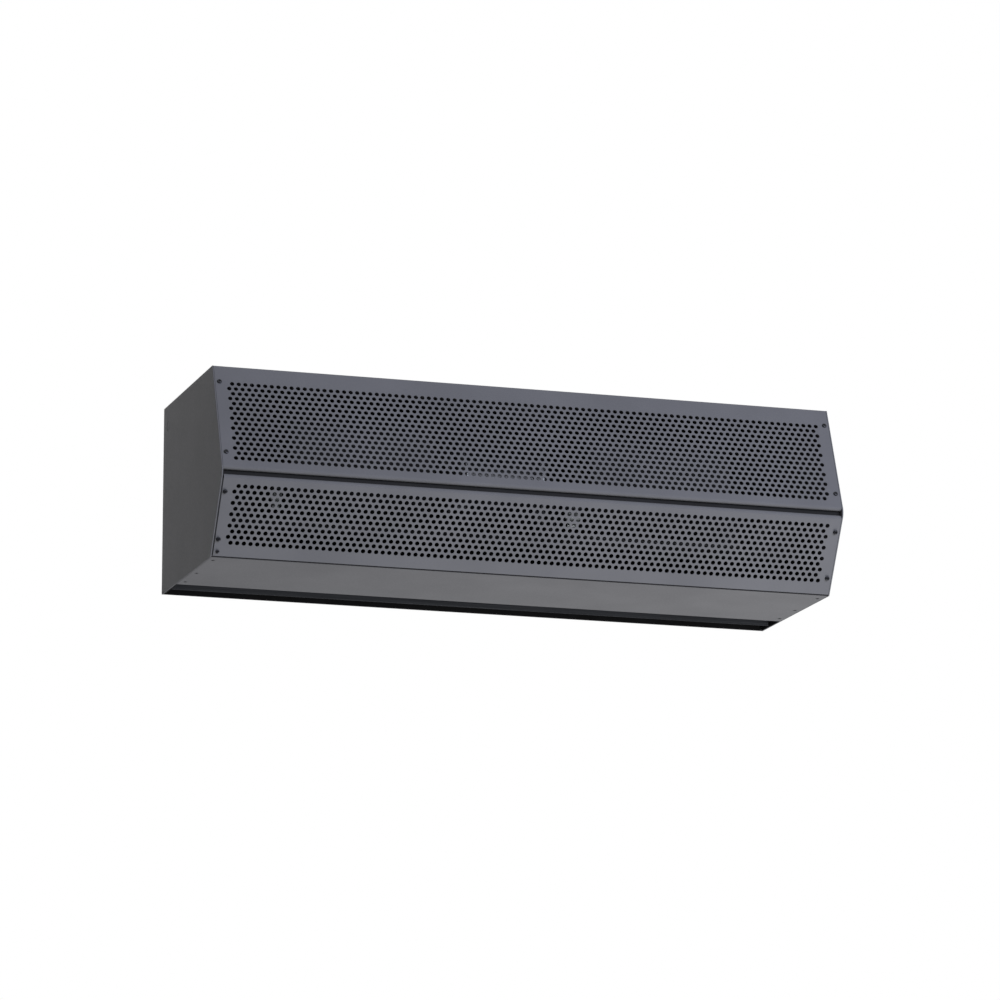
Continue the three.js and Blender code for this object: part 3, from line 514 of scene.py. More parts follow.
# ---- Materials ----
def linear(colour):
    """The linear RGBA of an sRGB hex colour such as "#6b6c72"."""
    values = [int(colour[i:i + 2], 16) / 255 for i in (1, 3, 5)]
    return [v / 12.92 if v <= 0.04045 else ((v + 0.055) / 1.055) ** 2.4 for v in values] + [1.0]


def add_node(tree, kind, inputs=None, **settings):
    """One shader node, with its settings and its inputs as values or as sockets to link."""
    node = tree.nodes.new("ShaderNode" + kind)
    for key, value in settings.items():
        setattr(node, key, value)
    for key, value in (inputs or {}).items():
        if isinstance(value, bpy.types.NodeSocket):
            tree.links.new(value, node.inputs[key])
        else:
            node.inputs[key].default_value = value
    return node


def per_metre(size):
    """The texture scale at which one feature is about a size in millimetres wide."""
    return 1 / (size * MM)


class Finish:
    """A material under a name, with its shader and the piece's own coordinates."""

    def __init__(self, name, colour, metallic, roughness, **sockets):
        self.material = bpy.data.materials.new(name)
        self.material.use_nodes = True
        self.tree = self.material.node_tree
        self.shader = self.tree.nodes["Principled BSDF"]
        self.place = add_node(self.tree, "TexCoord").outputs["Object"]
        self.shader.inputs["Base Color"].default_value = linear(colour)
        self.shader.inputs["Metallic"].default_value = metallic
        self.shader.inputs["Roughness"].default_value = roughness
        for key, value in sockets.items():
            self.shader.inputs[key.replace("_", " ")].default_value = value

    def mottle(self, size, detail=2.0, stretch=(1, 1, 1)):
        """Soft blotches of a size in millimetres, drawn out along an axis by its stretch."""
        scale = [per_metre(size * s) for s in stretch]
        place = add_node(self.tree, "Mapping", {"Vector": self.place, "Scale": scale})
        return add_node(self.tree, "TexNoise", {"Vector": place.outputs[0], "Scale": 1.0,
                                                "Detail": detail}).outputs["Fac"]

    def colours(self, pattern, low, high, start=0.3, end=0.7):
        """Blends the base colour from one hex value to another over a pattern."""
        ramp = add_node(self.tree, "MapRange", {"Value": pattern, "From Min": start,
                                                "From Max": end})
        mixed = add_node(self.tree, "Mix", {0: ramp.outputs[0], 6: linear(low),
                                            7: linear(high)}, data_type="RGBA")
        self.tree.links.new(mixed.outputs[2], self.shader.inputs["Base Color"])

    def sheen_over(self, pattern, low, high):
        """Varies the roughness over a pattern."""
        ramp = add_node(self.tree, "MapRange", {"Value": pattern, "From Min": 0.3,
                                                "From Max": 0.7, "To Min": low, "To Max": high})
        self.tree.links.new(ramp.outputs[0], self.shader.inputs["Roughness"])

    def relief(self, pattern, depth, strength=1.0):
        """Raises the surface by a depth in millimetres over a pattern."""
        bump = add_node(self.tree, "Bump", {"Height": pattern, "Strength": strength,
                                            "Distance": depth * MM})
        self.tree.links.new(bump.outputs["Normal"], self.shader.inputs["Normal"])


def grey_powder_coat():
    """Dark grey epoxy-polyester powder baked on folded steel.

    It flows out with a fine orange peel, so highlights break up softly, and its grey drifts
    a little where the film is thicker.
    """
    finish = Finish("dark_grey_powder_coat", "#6c6c6e", 0.0, 0.5, Specular_IOR_Level=0.06)
    finish.colours(finish.mottle(90, 3.0), "#69696b", "#6f6f71")
    peel = finish.mottle(2.4, 2.0)
    finish.sheen_over(peel, 0.46, 0.58)
    finish.relief(peel, 0.05, 0.35)
    return finish.material


def black_coated_sheet():
    """Matt black powder inside the nozzle and behind the nose, used as painted shade: its black stands
    in for the deep shade in the slot and in the open joint. Nearly no shine, faint dust.
    """
    finish = Finish("black_coat_painted_shade", "#0e0e10", 0.0, 0.7, Specular_IOR_Level=0.2)
    finish.colours(finish.mottle(40, 4.0), "#0a0a0b", "#141416")
    finish.relief(finish.mottle(1.6), 0.05, 0.4)
    return finish.material


def galvanised_sheet():
    """Hot-dip galvanised steel: crystals of zinc, each a flat patch with its own grey."""
    spangle = 9.0
    finish = Finish("hot_dip_galvanised_steel", "#7b7f82", 1.0, 0.48)
    cells = add_node(finish.tree, "TexVoronoi", {"Vector": finish.place,
                                                 "Scale": per_metre(spangle)})
    tone = add_node(finish.tree, "SeparateColor", {"Color": cells.outputs["Color"]})
    finish.colours(tone.outputs[0], "#6c7073", "#8b8f91", 0.0, 1.0)
    finish.sheen_over(tone.outputs[1], 0.4, 0.56)
    finish.relief(finish.mottle(1.2), 0.02, 0.3)
    return finish.material


def anodised_aluminium():
    """A dark anodised extrusion: satin, with straight die lines along its length."""
    finish = Finish("dark_anodised_aluminium", "#54565b", 0.85, 0.45)
    lines = finish.mottle(1.1, 3.0, (120, 1, 1))
    finish.colours(lines, "#4c4e53", "#5d5f64")
    finish.sheen_over(lines, 0.36, 0.5)
    finish.relief(lines, 0.02, 0.5)
    return finish.material


def cast_aluminium():
    """Die-cast aluminium, tumbled: a pale satin skin with a fine grain and darker hollows."""
    finish = Finish("die_cast_aluminium", "#97999b", 1.0, 0.5)
    finish.colours(finish.mottle(14, 4.0), "#86888a", "#a5a7a9")
    finish.relief(finish.mottle(0.9, 3.0), 0.06, 0.6)
    return finish.material


def motor_enamel():
    """Black baking enamel dipped over rolled steel: a soft gloss with slow waves."""
    finish = Finish("black_baking_enamel", "#17181a", 0.0, 0.3)
    waves = finish.mottle(12, 2.0)
    finish.sheen_over(waves, 0.26, 0.38)
    finish.relief(waves, 0.1, 0.3)
    return finish.material


def machined_steel():
    """Turned and stacked steel, lightly oiled: close tool marks that run round the shaft.

    The marks are drawn at 0.9 mm, coarser than real, so that they show.
    """
    finish = Finish("turned_steel", "#9a9c9f", 1.0, 0.3)
    marks = finish.mottle(0.9, 2.0, (1, 40, 40))
    finish.colours(marks, "#85878a", "#a9abae")
    finish.sheen_over(marks, 0.24, 0.4)
    finish.relief(marks, 0.02, 0.6)
    return finish.material


def enamelled_copper():
    """Varnished magnet wire laid in bundles: amber copper with fine strands."""
    finish = Finish("varnished_magnet_wire", "#9c4f26", 0.9, 0.35, Coat_Weight=0.4,
                    Coat_Roughness=0.2)
    strands = finish.mottle(1.0, 2.0, (1, 6, 6))
    finish.colours(strands, "#74351a", "#b8683a")
    finish.relief(strands, 0.3, 0.8)
    return finish.material


def black_rubber():
    """Moulded rubber, and the foam strips laid as painted shade in gaps: dull black with a faint grey
    bloom.
    """
    finish = Finish("black_rubber", "#151516", 0.0, 0.82)
    finish.colours(finish.mottle(6, 4.0), "#111112", "#1f1f20")
    finish.relief(finish.mottle(0.8, 3.0), 0.08, 0.5)
    return finish.material


def black_plastic():
    """Moulded nylon with a fine spark-eroded texture that takes the shine off."""
    finish = Finish("moulded_black_nylon", "#1a1b1d", 0.0, 0.5)
    grain = finish.mottle(0.7, 2.0)
    finish.sheen_over(grain, 0.44, 0.58)
    finish.relief(grain, 0.04, 0.5)
    return finish.material


def blackened_screws():
    """Black oxide on steel, worn to bare metal in specks."""
    finish = Finish("black_oxide_steel", "#2a2b2e", 0.8, 0.38)
    finish.colours(finish.mottle(1.1, 3.0), "#232427", "#45464a", 0.45, 0.8)
    finish.relief(finish.mottle(0.5), 0.02, 0.4)
    return finish.material


FINISHES = {
    "powder_coated_casing": grey_powder_coat(),
    "black_coated_sheet": black_coated_sheet(),
    "galvanised_sheet": galvanised_sheet(),
    "dark_anodised_aluminium": anodised_aluminium(),
    "cast_aluminium": cast_aluminium(),
    "black_motor_enamel": motor_enamel(),
    "machined_steel": machined_steel(),
    "enamelled_copper": enamelled_copper(),
    "black_rubber": black_rubber(),
    "black_plastic": black_plastic(),
    "blackened_screw": blackened_screws(),
}

# ---- Pieces ----
NODE_SLOT = {part["node"]: part["material_slot"] for part in frame["record"]["subparts"]}
NODE_BODY = {node: body for body, nodes in frame["record"]["behaviour"]["bodies"].items()
             for node in nodes}


def add_piece(name, shape, slot, body="casing", smooth=28):
    """A piece in its finish, shaded smooth where its faces meet at a small angle."""
    piece = plain_object(name, shape, MM)
    piece.data.materials.append(FINISHES[slot])
    piece.data.shade_smooth()
    piece.data.set_sharp_from_angle(angle=math.radians(smooth))
    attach(piece, body)
    return piece


def fine(node, shape):
    """The fine version of a CAD node, which it stands for."""
    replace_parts(add_piece("fine_" + node, shape, NODE_SLOT[node], NODE_BODY[node]), node)


def fine_pair(name, shape):
    fine("right_" + name, shape)
    fine("left_" + name, mirrored(shape))


def add_pair(name, shape, slot, body="casing"):
    add_piece("right_" + name, shape, slot, body)
    add_piece("left_" + name, mirrored(shape), slot, body)


# ---- Fasteners ----
def cross_recess(width, depth, top):
    """The two crossed slots of a driver recess."""
    slots = []
    for spin in (0, 90):
        half, thin = width / 2, width / 9
        low, high = Vector((-half, -thin, top - depth)), Vector((half, thin, top + 1))
        slots.append(placed(block(low, high, 0.05), (0, 0, 0), Z_AXIS, spin))
    return slots


def dome_screw(head, rise, shank, length):
    """A pan-headed screw that stands on z = 0."""
    radius = head / 2
    dome = [(radius - radius * 0.55 * (1 - math.cos(math.radians(a))) if a else radius,
             rise * (0.35 + 0.65 * math.sin(math.radians(a)))) for a in range(0, 91, 15)]
    profile = [(0, -length), (shank / 2, -length + 1), (shank / 2, 0), (radius - 0.2, 0),
               (radius, 0.2)] + dome + [(0, rise)]
    return carved(lathe(profile, 32, False), *cross_recess(head * 0.62, rise * 0.6, rise))


def flush_screw(head, length):
    """A countersunk screw whose flat head lies just under z = 0."""
    radius, top = head / 2, -0.1
    profile = [(0, -length), (radius * 0.5, -length + 1), (radius * 0.5, top - radius * 0.6),
               (radius, top - 0.25), (radius, top - 0.05), (radius - 0.15, top), (0, top)]
    return carved(lathe(profile, 28, False), *cross_recess(head * 0.6, 0.9, top))


PANEL_SCREW = dome_screw(SCREW_HEAD, SCREW_RISE, SCREW_SHANK, SCREW_LENGTH)
SMALL_SCREW = dome_screw(INNER_HEAD, INNER_RISE, INNER_SHANK, 4)
STUB_SCREW = dome_screw(INNER_HEAD, INNER_RISE, INNER_SHANK, 2)  # ends inside the back plate
SUNK_SCREW = flush_screw(SUNK_HEAD, SCREW_LENGTH)


def on_slope(shape, side, slope, distance, spin, inset_x=SCREW_INSET):
    """A screw on one of the slopes, near an end."""
    at = slope.at(distance, GAP)
    axis = (0, slope.outward.x, slope.outward.y)
    return placed(shape, (side * (END_FACE - inset_x), at.x, at.y), axis, spin)


def panel_screws():
    for panel, slope, distances in (("upper", UPPER, UPPER_SCREWS), ("lower", LOWER, LOWER_SCREWS)):
        for side, hand in ((-1, "left"), (1, "right")):
            for i, distance in enumerate(distances):
                spin = 37 * (i + 1) + 20 * side  # driven home by hand, so no two lie alike
                shape = on_slope(PANEL_SCREW, side, slope, distance, spin)
                fine(f"{panel}_panel_screw_{hand}_{i + 1}", shape)
    corner = on_slope(SMALL_SCREW, -1, LOWER, LOWER.length - CORNER_SCREW_RISE, 12,
                      CORNER_SCREW_INSET)
    add_piece("lower_corner_screw", corner, "blackened_screw")


def sunk_screws():
    rows = [("top", [(-SKIN - d, TOP) for d in TOP_SCREWS], (0, 0, 1)),
            ("foot", [(-BODY_DEPTH + SEAM_GAP + d, BOTTOM) for d in FOOT_SCREWS], (0, 0, -1)),
            ("back", [(0, node_box("back_plate")[0].z + d) for d in BACK_SCREWS], (0, 1, 0))]
    for name, places, axis in rows:
        for i, (y, z) in enumerate(places):
            shape = placed(SUNK_SCREW, (END_FACE - SUNK_INSET, y, z), axis, 41 * i + 15)
            add_pair(f"{name}_screw_{i + 1}", shape, "blackened_screw")


# ---- Intake panels ----
def hole_field(rows, first_row, travel_of):
    """The round holes of one panel, on staggered centres, as loops of (x, travel)."""
    loops = []
    for row in range(rows):
        shift = 0.25 if row % 2 == 0 else -0.25
        s = travel_of(first_row + row * ROW_PITCH)
        for column in range(HOLES_PER_ROW):
            x = (column - (HOLES_PER_ROW - 1) / 2 + shift) * PITCH
            loops.append(circle(Vector((x, s)), HOLE / 2, HOLE_SIDES))
    return loops


def travel_on(slope, face):
    """A function from a distance down a slope to the travel along a sheet's face."""
    lengths = travel(face)
    flattest = max(range(len(face) - 1), key=lambda i: lengths[i + 1] - lengths[i])
    start = (face[flattest][0] - slope.start).dot(slope.along)
    return lambda distance: lengths[flattest] + distance - start


def intake_panel(node, path, slope, rows, first_row, screws):
    travel_of = travel_on(slope, folded_face(path, SHEET))
    holes = hole_field(rows, first_row, travel_of)
    for distance in screws:
        for x in (SCREW_INSET - END_FACE, END_FACE - SCREW_INSET):
            holes.append(circle(Vector((x, travel_of(distance))), SCREW_SHANK / 2 + GAP, 12))
    low, high = node_box(node)
    fine(node, sheet(path, SHEET, low.x, high.x, holes))


def nose_edge(slope, side):
    """Where a panel rolls into the open joint, and the end of its lip."""
    way = polar(Vector((0, 0)), 1, GAP_MIDDLE + side * GAP_ANGLE / 2)
    reach = (slope.start - NOSE_CENTRE).dot(slope.outward) / way.dot(slope.outward)
    return (*(NOSE_CENTRE + way * reach), NOSE_ROLL), NOSE_CENTRE + way * (NOSE_RADIUS - NOSE_LIP)


def upper_panel():
    roll, lip = nose_edge(UPPER, -1)
    path = [(-BODY_DEPTH + TOP_RETURN, TOP), (-BODY_DEPTH, TOP, BEND), roll, tuple(lip)]
    intake_panel("upper_intake_panel", path, UPPER, UPPER_ROWS, UPPER_FIRST_ROW, UPPER_SCREWS)


def lower_panel():
    roll, lip = nose_edge(LOWER, 1)
    path = [tuple(lip), roll, tuple(LOWER.at(LOWER.length - SEAM_RISE))]
    intake_panel("lower_intake_panel", path, LOWER, LOWER_ROWS, LOWER_FIRST_ROW, LOWER_SCREWS)


def left_end_shade_strip():
    """A black foam strip in the gap between the lower panel's left end and the end plate: painted
    shade, which makes the gap show as a dark line.
    """
    top, foot, height = NOSE_OPENING, LOWER.length - INNER, -0.5
    strip = [LOWER.at(top, height), LOWER.at(foot, height), LOWER.at(foot, -SKIN), LOWER.at(top, -SKIN)]
    end = node_box("lower_intake_panel")[0].x - SHADE_STRIP_GAP
    add_piece("left_end_shade_strip", extruded(strip, -SKIN_END, end), "black_rubber")


def seam_shade_strip():
    """Black foam on the front lip of the bottom plate: painted shade, seen as a dark line under the
    lower panel.
    """
    front, back = -BODY_DEPTH + GAP, -BODY_DEPTH + SEAM_GAP - SHADE_STRIP_GAP
    middle = BOTTOM + SKIN - SHADE_STRIP_GAP
    low = rectangle((front, BOTTOM + GAP), (back, middle), 0.2)
    high = rectangle((front, middle), (back, BOTTOM + SHADE_STRIP_HEIGHT), 0.2)
    inner_end = SKIN_END - FLANGE - 1
    add_piece("seam_shade_strip", joined(extruded(low, -SKIN_END, SKIN_END),
                                    extruded(high, -inner_end, inner_end)), "black_rubber")


def nose_rail():
    # The rail takes its black coat from model.json as painted shade, so the open joint between the
    # panels shows as a dark band.
    web = NOSE_CENTRE.x - NOSE_RADIUS + NOSE_LIP + 2 * GAP + SHEET
    low, high = node_box("nose_rail")
    path = [(web + RAIL_FLANGE, high.z), (web, high.z, BEND), (web, low.z, BEND),
            (web + RAIL_FLANGE, low.z)]
    fine("nose_rail", extruded(folded_loop(path, SHEET), -SKIN_END, SKIN_END))


# ---- Casing ----
def end_plate_profile():
    """(depth, x) pairs from the outside face, round the rim and flange, to the inside face."""
    profile = [(RIM_ROUND * (1 - math.sin(math.radians(a))),
                END_FACE - RIM_ROUND * (1 - math.cos(math.radians(a))))
               for a in range(0, 91, 15)]
    rim_back = END_FACE - RIM
    flange_end = rim_back - FLANGE
    profile += [(0, rim_back + GAP), (GAP, rim_back), (SKIN, rim_back), (SKIN, flange_end),
                (SKIN + SHEET, flange_end), (SKIN + SHEET, rim_back), (RIM_DEPTH, rim_back),
                (RIM_DEPTH, END_FACE - END_WEB)]
    return profile


def end_plate():
    """The right end plate, with its flanges cut back at the slot and behind the open joint."""
    tray = lofted([across(casing_loop(depth), x) for depth, x in end_plate_profile()])
    inner_end, web = SKIN_END - FLANGE - 2, END_FACE - RIM
    slot = block((inner_end, -SLOT_DEPTH - SKIN - SKIN_LIP - GAP, BOTTOM - 1),
                 (web, -INNER, BOTTOM + INNER + SHEET), 0.1)
    front = NOSE_CENTRE.x - NOSE_RADIUS
    nose = block((inner_end, front - 1, NOSE_CENTRE.y - NOSE_OPENING),
                 (web, front + NOSE_RADIUS / 2, NOSE_CENTRE.y + NOSE_OPENING), 0.1)
    radius, above, below = 2.3, 2, 9  # of the screw bores, from the skin's face
    bore = lathe([(0, -below), (radius, -below), (radius, above), (0, above)], 12, False)
    bores = [on_slope(bore, 1, slope, distance, 0)
             for slope, distances in ((UPPER, UPPER_SCREWS), (LOWER, LOWER_SCREWS))
             for distance in distances]
    return carved(tray, slot, nose, *bores)


def end_plates():
    """The left one has a round knock-out pressed into it, the right one a conduit hole."""
    shape = end_plate()
    section = rectangle((KNOCKOUT_RADIUS - 1, END_FACE - KNOCKOUT_GROOVE),
                        (KNOCKOUT_RADIUS, END_FACE + 1))
    fine("left_end_plate", mirrored(carved(shape, turned(section, KNOCKOUT))))
    entry = rod(section_centre("conduit_plug"), PLUG_RADIUS + GAP, END_FACE - RIM, END_FACE + 1, 48)
    fine("right_end_plate", carved(shape, entry))


def sunk_holes(distances):
    """The dimples that flush screws lie in, at both ends of a skin."""
    x = END_FACE - SUNK_INSET
    return [circle(Vector((side * x, s)), SUNK_HEAD / 2 + 0.2, 24)
            for s in distances for side in (-1, 1)]


def skin(node, path, screws, lips):
    """A folded skin between the end plates, with its screws measured from its first fold."""
    face = Slope(Vector(path[1][:2]), Vector(path[2][:2]))
    travel_of = travel_on(face, folded_face(path, SHEET))
    holes = sunk_holes([travel_of(d) for d in screws])
    fine(node, sheet(path, SHEET, -SKIN_END, SKIN_END, holes, lips))


def top_cover():
    front = -BODY_DEPTH + TOP_RETURN + GAP
    path = [(-SKIN, TOP - SKIN_LIP), (-SKIN, TOP, BEND), (front, TOP, BEND),
            (front, TOP - SKIN_LIP)]
    skin("top_cover", path, TOP_SCREWS, (SKIN_LIP, SKIN_LIP))


def bottom_plate():
    front = -BODY_DEPTH + SEAM_GAP
    path = [(front, BOTTOM + SKIN_LIP), (front, BOTTOM, BEND), (-SLOT_DEPTH, BOTTOM, MOUTH_BEND),
            (-SLOT_DEPTH, BOTTOM + MOUTH_LIP)]
    skin("bottom_plate", path, FOOT_SCREWS, (SKIN_LIP, MOUTH_LIP))


def keyhole(x, s):
    """A slot that takes the head of a wall screw and drops on to its shank."""
    neck, head = KEYHOLE_NECK / 2, KEYHOLE_HEAD / 2
    angle = math.degrees(math.acos(neck / head))
    return (arc(Vector((x, s + KEYHOLE_RISE)), neck, 0, 180, 12)
            + arc(Vector((x, s)), head, 180 - angle, 360 + angle, 30))


def back_plate():
    low, high = node_box("back_plate")
    holes = [keyhole(side * x, KEYHOLE_Z - low.z) for x in KEYHOLE_PLACES for side in (-1, 1)]
    path = [(0, low.z), (0, high.z)]
    fine("back_plate", sheet(path, SHEET, -SKIN_END, SKIN_END, holes + sunk_holes(BACK_SCREWS)))


def keyhole_shrouds():
    """Moulded cups behind the keyholes, so that no wall screw or finger reaches the wiring."""
    half, open_side = KEYHOLE_HEAD / 2 + SHROUD_SIDE, -SKIN - GAP
    top = KEYHOLE_Z + KEYHOLE_RISE + KEYHOLE_NECK / 2 + SHROUD_ABOVE
    wall = SHROUD_WALL
    for number, x in enumerate(KEYHOLE_PLACES, 1):
        low = Vector((x - half, open_side - SHROUD_DEPTH, KEYHOLE_Z - SHROUD_BELOW))
        high = Vector((x + half, open_side, top))
        hollow = block(low + Vector((wall, wall, wall)), high + Vector((-wall, 1, -wall)), 1)
        add_pair(f"keyhole_shroud_{number}", carved(block(low, high, wall), hollow), "black_plastic")


# ---- Blower deck, nozzle and vane ----
DECK_SHEET = 1.5
DECK_BORE = 3.6  # spare holes, front and rear
DECK_TOP = node_box("blower_deck")[1].z
DECK_FRONT = node_box("blower_deck")[0].y
HOUSING_OFFSET = 118  # middle of the part to a housing's inner side
HOUSING_WIDTH = 208
AXIS = section_centre("motor_shaft")
WHEEL_RADIUS = 72
TONGUE_REACH = WHEEL_RADIUS + 7
SCROLL_GROWTH = 42
TONGUE_ANGLE = 45
OUTLET_REACH = TONGUE_REACH + SCROLL_GROWTH
SCROLL_TRAVEL = 360 - TONGUE_ANGLE
VANE_CHORD = 40
VANE_THICKNESS = 7
PIVOT_RADIUS = 3
PIVOT = Vector((-SLOT_DEPTH / 2, node_box("discharge_vane")[0].z + VANE_CHORD / 2))


def blower_deck():
    path = [(-INNER, DECK_TOP), (DECK_FRONT, DECK_TOP, BEND), (DECK_FRONT, DECK_TOP - SKIN_LIP)]
    tongue = AXIS.x + TONGUE_REACH * math.cos(math.radians(TONGUE_ANGLE))
    near, far = HOUSING_OFFSET + SHEET, HOUSING_OFFSET + HOUSING_WIDTH - SHEET
    start, end = -INNER - (AXIS.x + OUTLET_REACH - SHEET), -INNER - (tongue + SHEET)
    outlets = [rectangle((near, start), (far, end), 2), rectangle((-far, start), (-near, end), 2)]
    bores = [circle(Vector((x, s)), DECK_BORE / 2, 12)
             for x in (-400, -60, 60, 400) for s in (40, 200)]
    deck = sheet(path, DECK_SHEET, -SKIN_END, SKIN_END, outlets + bores)
    tab = block((SKIN_END - DECK_SHEET, DECK_FRONT + SKIN_LIP, DECK_TOP - SKIN_LIP),
                (SKIN_END, -SLOT_DEPTH - SKIN_LIP, DECK_TOP - DECK_SHEET), 0.3)
    fine("blower_deck", joined(deck, tab, mirrored(tab)))


def node_section(name, radius):
    """The box of a node's section across the width, with eased corners."""
    low, high = node_box(name)
    return rectangle((low.y, low.z), (high.y, high.z), radius)


def nozzle_walls():
    # The nozzle walls take their black coat from model.json as painted shade, standing in for the deep
    # shade inside the discharge slot.
    low, high = node_box("nozzle_front_wall")
    path = [(low.y, low.z), (high.y, low.z, BEND), (high.y, high.z, BEND), (low.y, high.z)]
    fine("nozzle_front_wall", extruded(folded_loop(path, SHEET), low.x, high.x))
    low, high = node_box("nozzle_rear_wall")
    fine("nozzle_rear_wall", extruded(node_section("nozzle_rear_wall", 0.35), low.x, high.x))


def pivot_plates():
    low, high = node_box("right_pivot_plate")
    hole = circle(PIVOT, PIVOT_RADIUS + GAP, 32)
    fine_pair("pivot_plate", plate(node_section("right_pivot_plate", 2), [hole], low.x, high.x))


def discharge_vane():
    """A symmetric aerofoil, blunt at the top where the air meets it and thin at its lower edge."""
    steps = 28
    front = []
    for i in range(steps + 1):
        share = (1 - math.cos(math.pi * i / steps)) / 2
        bulge = 2.6 * math.sqrt(share) * (1 - share) + 0.16 * share
        front.append(Vector((bulge * VANE_THICKNESS / 2, VANE_CHORD * (0.5 - share))))
    back = [Vector((-p.x, p.y)) for p in reversed(front[1:])]
    end = node_box("discharge_vane")[1].x
    foil = extruded([PIVOT + p for p in front + back], -end, end)
    bore = rod(PIVOT, PIVOT_RADIUS, node_box("right_vane_pivot_pin")[0].x - GAP, end + 1)
    fine("discharge_vane", carved(foil, bore, mirrored(bore)))


def vane_pins_and_washers():
    low, high = node_box("right_vane_pivot_pin")
    fine_pair("vane_pivot_pin", rod(PIVOT, PIVOT_RADIUS - GAP, low.x, high.x, 32, 0.4))
    low, high = node_box("right_vane_washer")
    section = rectangle((PIVOT_RADIUS, low.x), ((high.z - low.z) / 2, high.x), 0.2)
    fine_pair("vane_washer", turned(section, PIVOT, 40))


# ---- Blower housings and wheels ----
SCROLL_SHEET = 1
FOOT_WIDTH = 12
HUB_RADIUS, HUB_LENGTH = 16, 36
INLET_THROAT, INLET_FLARE, INLET_REACH = 56, 12, 6
HOUSING_FOOT = DECK_TOP + GAP
HOUSING_RIVETS = [polar(AXIS, 88, angle) for angle in (30, 120, 200)]
WHEEL_WIDTH = 186
WHEEL_MIDDLE = HOUSING_OFFSET + HOUSING_WIDTH / 2
WHEEL_RING = 3
BLADE_COUNT = 48
BLADE_DEPTH = 12
BLADE_SHEET = 0.8
BLADE_INSET = 0.5  # from a ring's outer face
BLADE_LEAD = 8  # degrees that a blade's tip leans forward
BLADE_CUP = 2.4  # degrees that its middle lags behind
SHAFT_RADIUS = 12.7 / 2


def scroll_curve(offset, steps=96):
    """The scroll from its tongue, under the wheel, up the front and over to the rear."""
    points = []
    for i in range(steps + 1):
        share = i / steps
        reach = TONGUE_REACH + SCROLL_GROWTH * share + offset
        points.append(polar(AXIS, reach, 360 - TONGUE_ANGLE - SCROLL_TRAVEL * share))
    return points


def scroll_wrappers():
    curve = scroll_curve(0)
    path = [(curve[0].x, HOUSING_FOOT), (*curve[0], 3)]
    path += [tuple(p) for p in curve[1:]] + [(curve[-1].x, HOUSING_FOOT)]
    near = HOUSING_OFFSET + SHEET + GAP
    far = HOUSING_OFFSET + HOUSING_WIDTH - SHEET - GAP
    fine_pair("scroll_wrapper", extruded(folded_loop(path, SCROLL_SHEET, 8), near, far))


def rivet(x0, way, centre):
    """A round-headed rivet through a sheet that starts at x0, with its head along the way."""
    face = x0 + SHEET if way > 0 else x0
    profile = [(0, -1.4), (1.5, -1.4), (1.5, 0), (3, 0), (2.6, 0.7), (1.5, 1.1), (0, 1.2)]
    return turned([(r, face + way * h) for r, h in profile], centre, 16, False)


def housing_side(x0, outward):
    """A riveted side with its inlet hole, and the screws through its foot."""
    curve = scroll_curve(SCROLL_SHEET)
    above = [p for p in curve if p.x < AXIS.x or p.y > AXIS.y]
    outline = [Vector((curve[-1].x, HOUSING_FOOT)), Vector((AXIS.x, HOUSING_FOOT))] + above
    inlet = circle(AXIS, INLET_THROAT + INLET_FLARE / 2, 72)
    bores = [circle(place, 1.6, 10) for place in HOUSING_RIVETS]
    side = plate(outline, [inlet] + bores, x0, x0 + SHEET)
    face = x0 if outward > 0 else x0 + SHEET
    far = face + outward * (SHEET + FOOT_WIDTH)
    foot = block((min(face, far), AXIS.x - HUB_RADIUS, HOUSING_FOOT),
                 (max(face, far), AXIS.x + OUTLET_REACH, HOUSING_FOOT + SHEET), 0.3)
    rivets = [rivet(x0, outward, place) for place in HOUSING_RIVETS]
    x = face + outward * (SHEET + FOOT_WIDTH / 2)
    screws = [placed(SMALL_SCREW, (x, y, HOUSING_FOOT + SHEET), Z_AXIS, 23)
              for y in (AXIS.x + 4, AXIS.x + OUTLET_REACH - 12)]
    return joined(side, foot, *rivets), screws


def inlet_ring(face, inward):
    """A spun ring that leads the air from the housing's side into the wheel."""
    back = -GAP - SHEET
    path = [(INLET_THROAT, INLET_REACH), (INLET_THROAT, back, 3.6),
            (INLET_THROAT + INLET_FLARE, back)]
    section = [(p.x, face + inward * p.y) for p in folded_loop(path, SHEET, 8)]
    return turned(section, AXIS, 96)


def housing_sides():
    outer = HOUSING_OFFSET + HOUSING_WIDTH
    for name, x0, face, outward in (("inner", HOUSING_OFFSET, HOUSING_OFFSET, -1),
                                    ("outer", outer - SHEET, outer, 1)):
        side, screws = housing_side(x0, outward)
        fine_pair(f"housing_{name}_side", side)
        for i, screw in enumerate(screws):
            add_pair(f"housing_{name}_foot_screw_{i + 1}", screw, "blackened_screw")
        fine_pair(f"{name}_inlet_ring", inlet_ring(face, -outward))


def blade(turn):
    """The section of one forward-curved blade."""
    root, steps = WHEEL_RADIUS - BLADE_DEPTH, 6
    thickness = math.degrees(BLADE_SHEET / WHEEL_RADIUS)
    front, back = [], []
    for i in range(steps + 1):
        share = i / steps
        angle = turn - BLADE_LEAD * share + BLADE_CUP * math.sin(math.pi * share)
        radius = root + BLADE_DEPTH * share
        front.append(polar(AXIS, radius, angle))
        back.append(polar(AXIS, radius, angle + thickness))
    return front + back[::-1]


def wheel_disc(edge):
    """The pressed disc in the wheel's middle and its hub, out to the blades."""
    bore, middle, half = SHAFT_RADIUS + GAP, WHEEL_MIDDLE, HUB_LENGTH / 2
    return turned(eased([
        (bore, middle - half), (HUB_RADIUS, middle - half), (HUB_RADIUS, middle - 1),
        (26, middle - 1), (30, middle + 3), (44, middle + 3), (48, middle - 1),
        (edge, middle - 1), (edge, middle + 1), (47, middle + 1),
        (43, middle + 5), (31, middle + 5), (27, middle + 1), (HUB_RADIUS, middle + 1),
        (HUB_RADIUS, middle + half), (bore, middle + half)], 0.5), AXIS, 96)


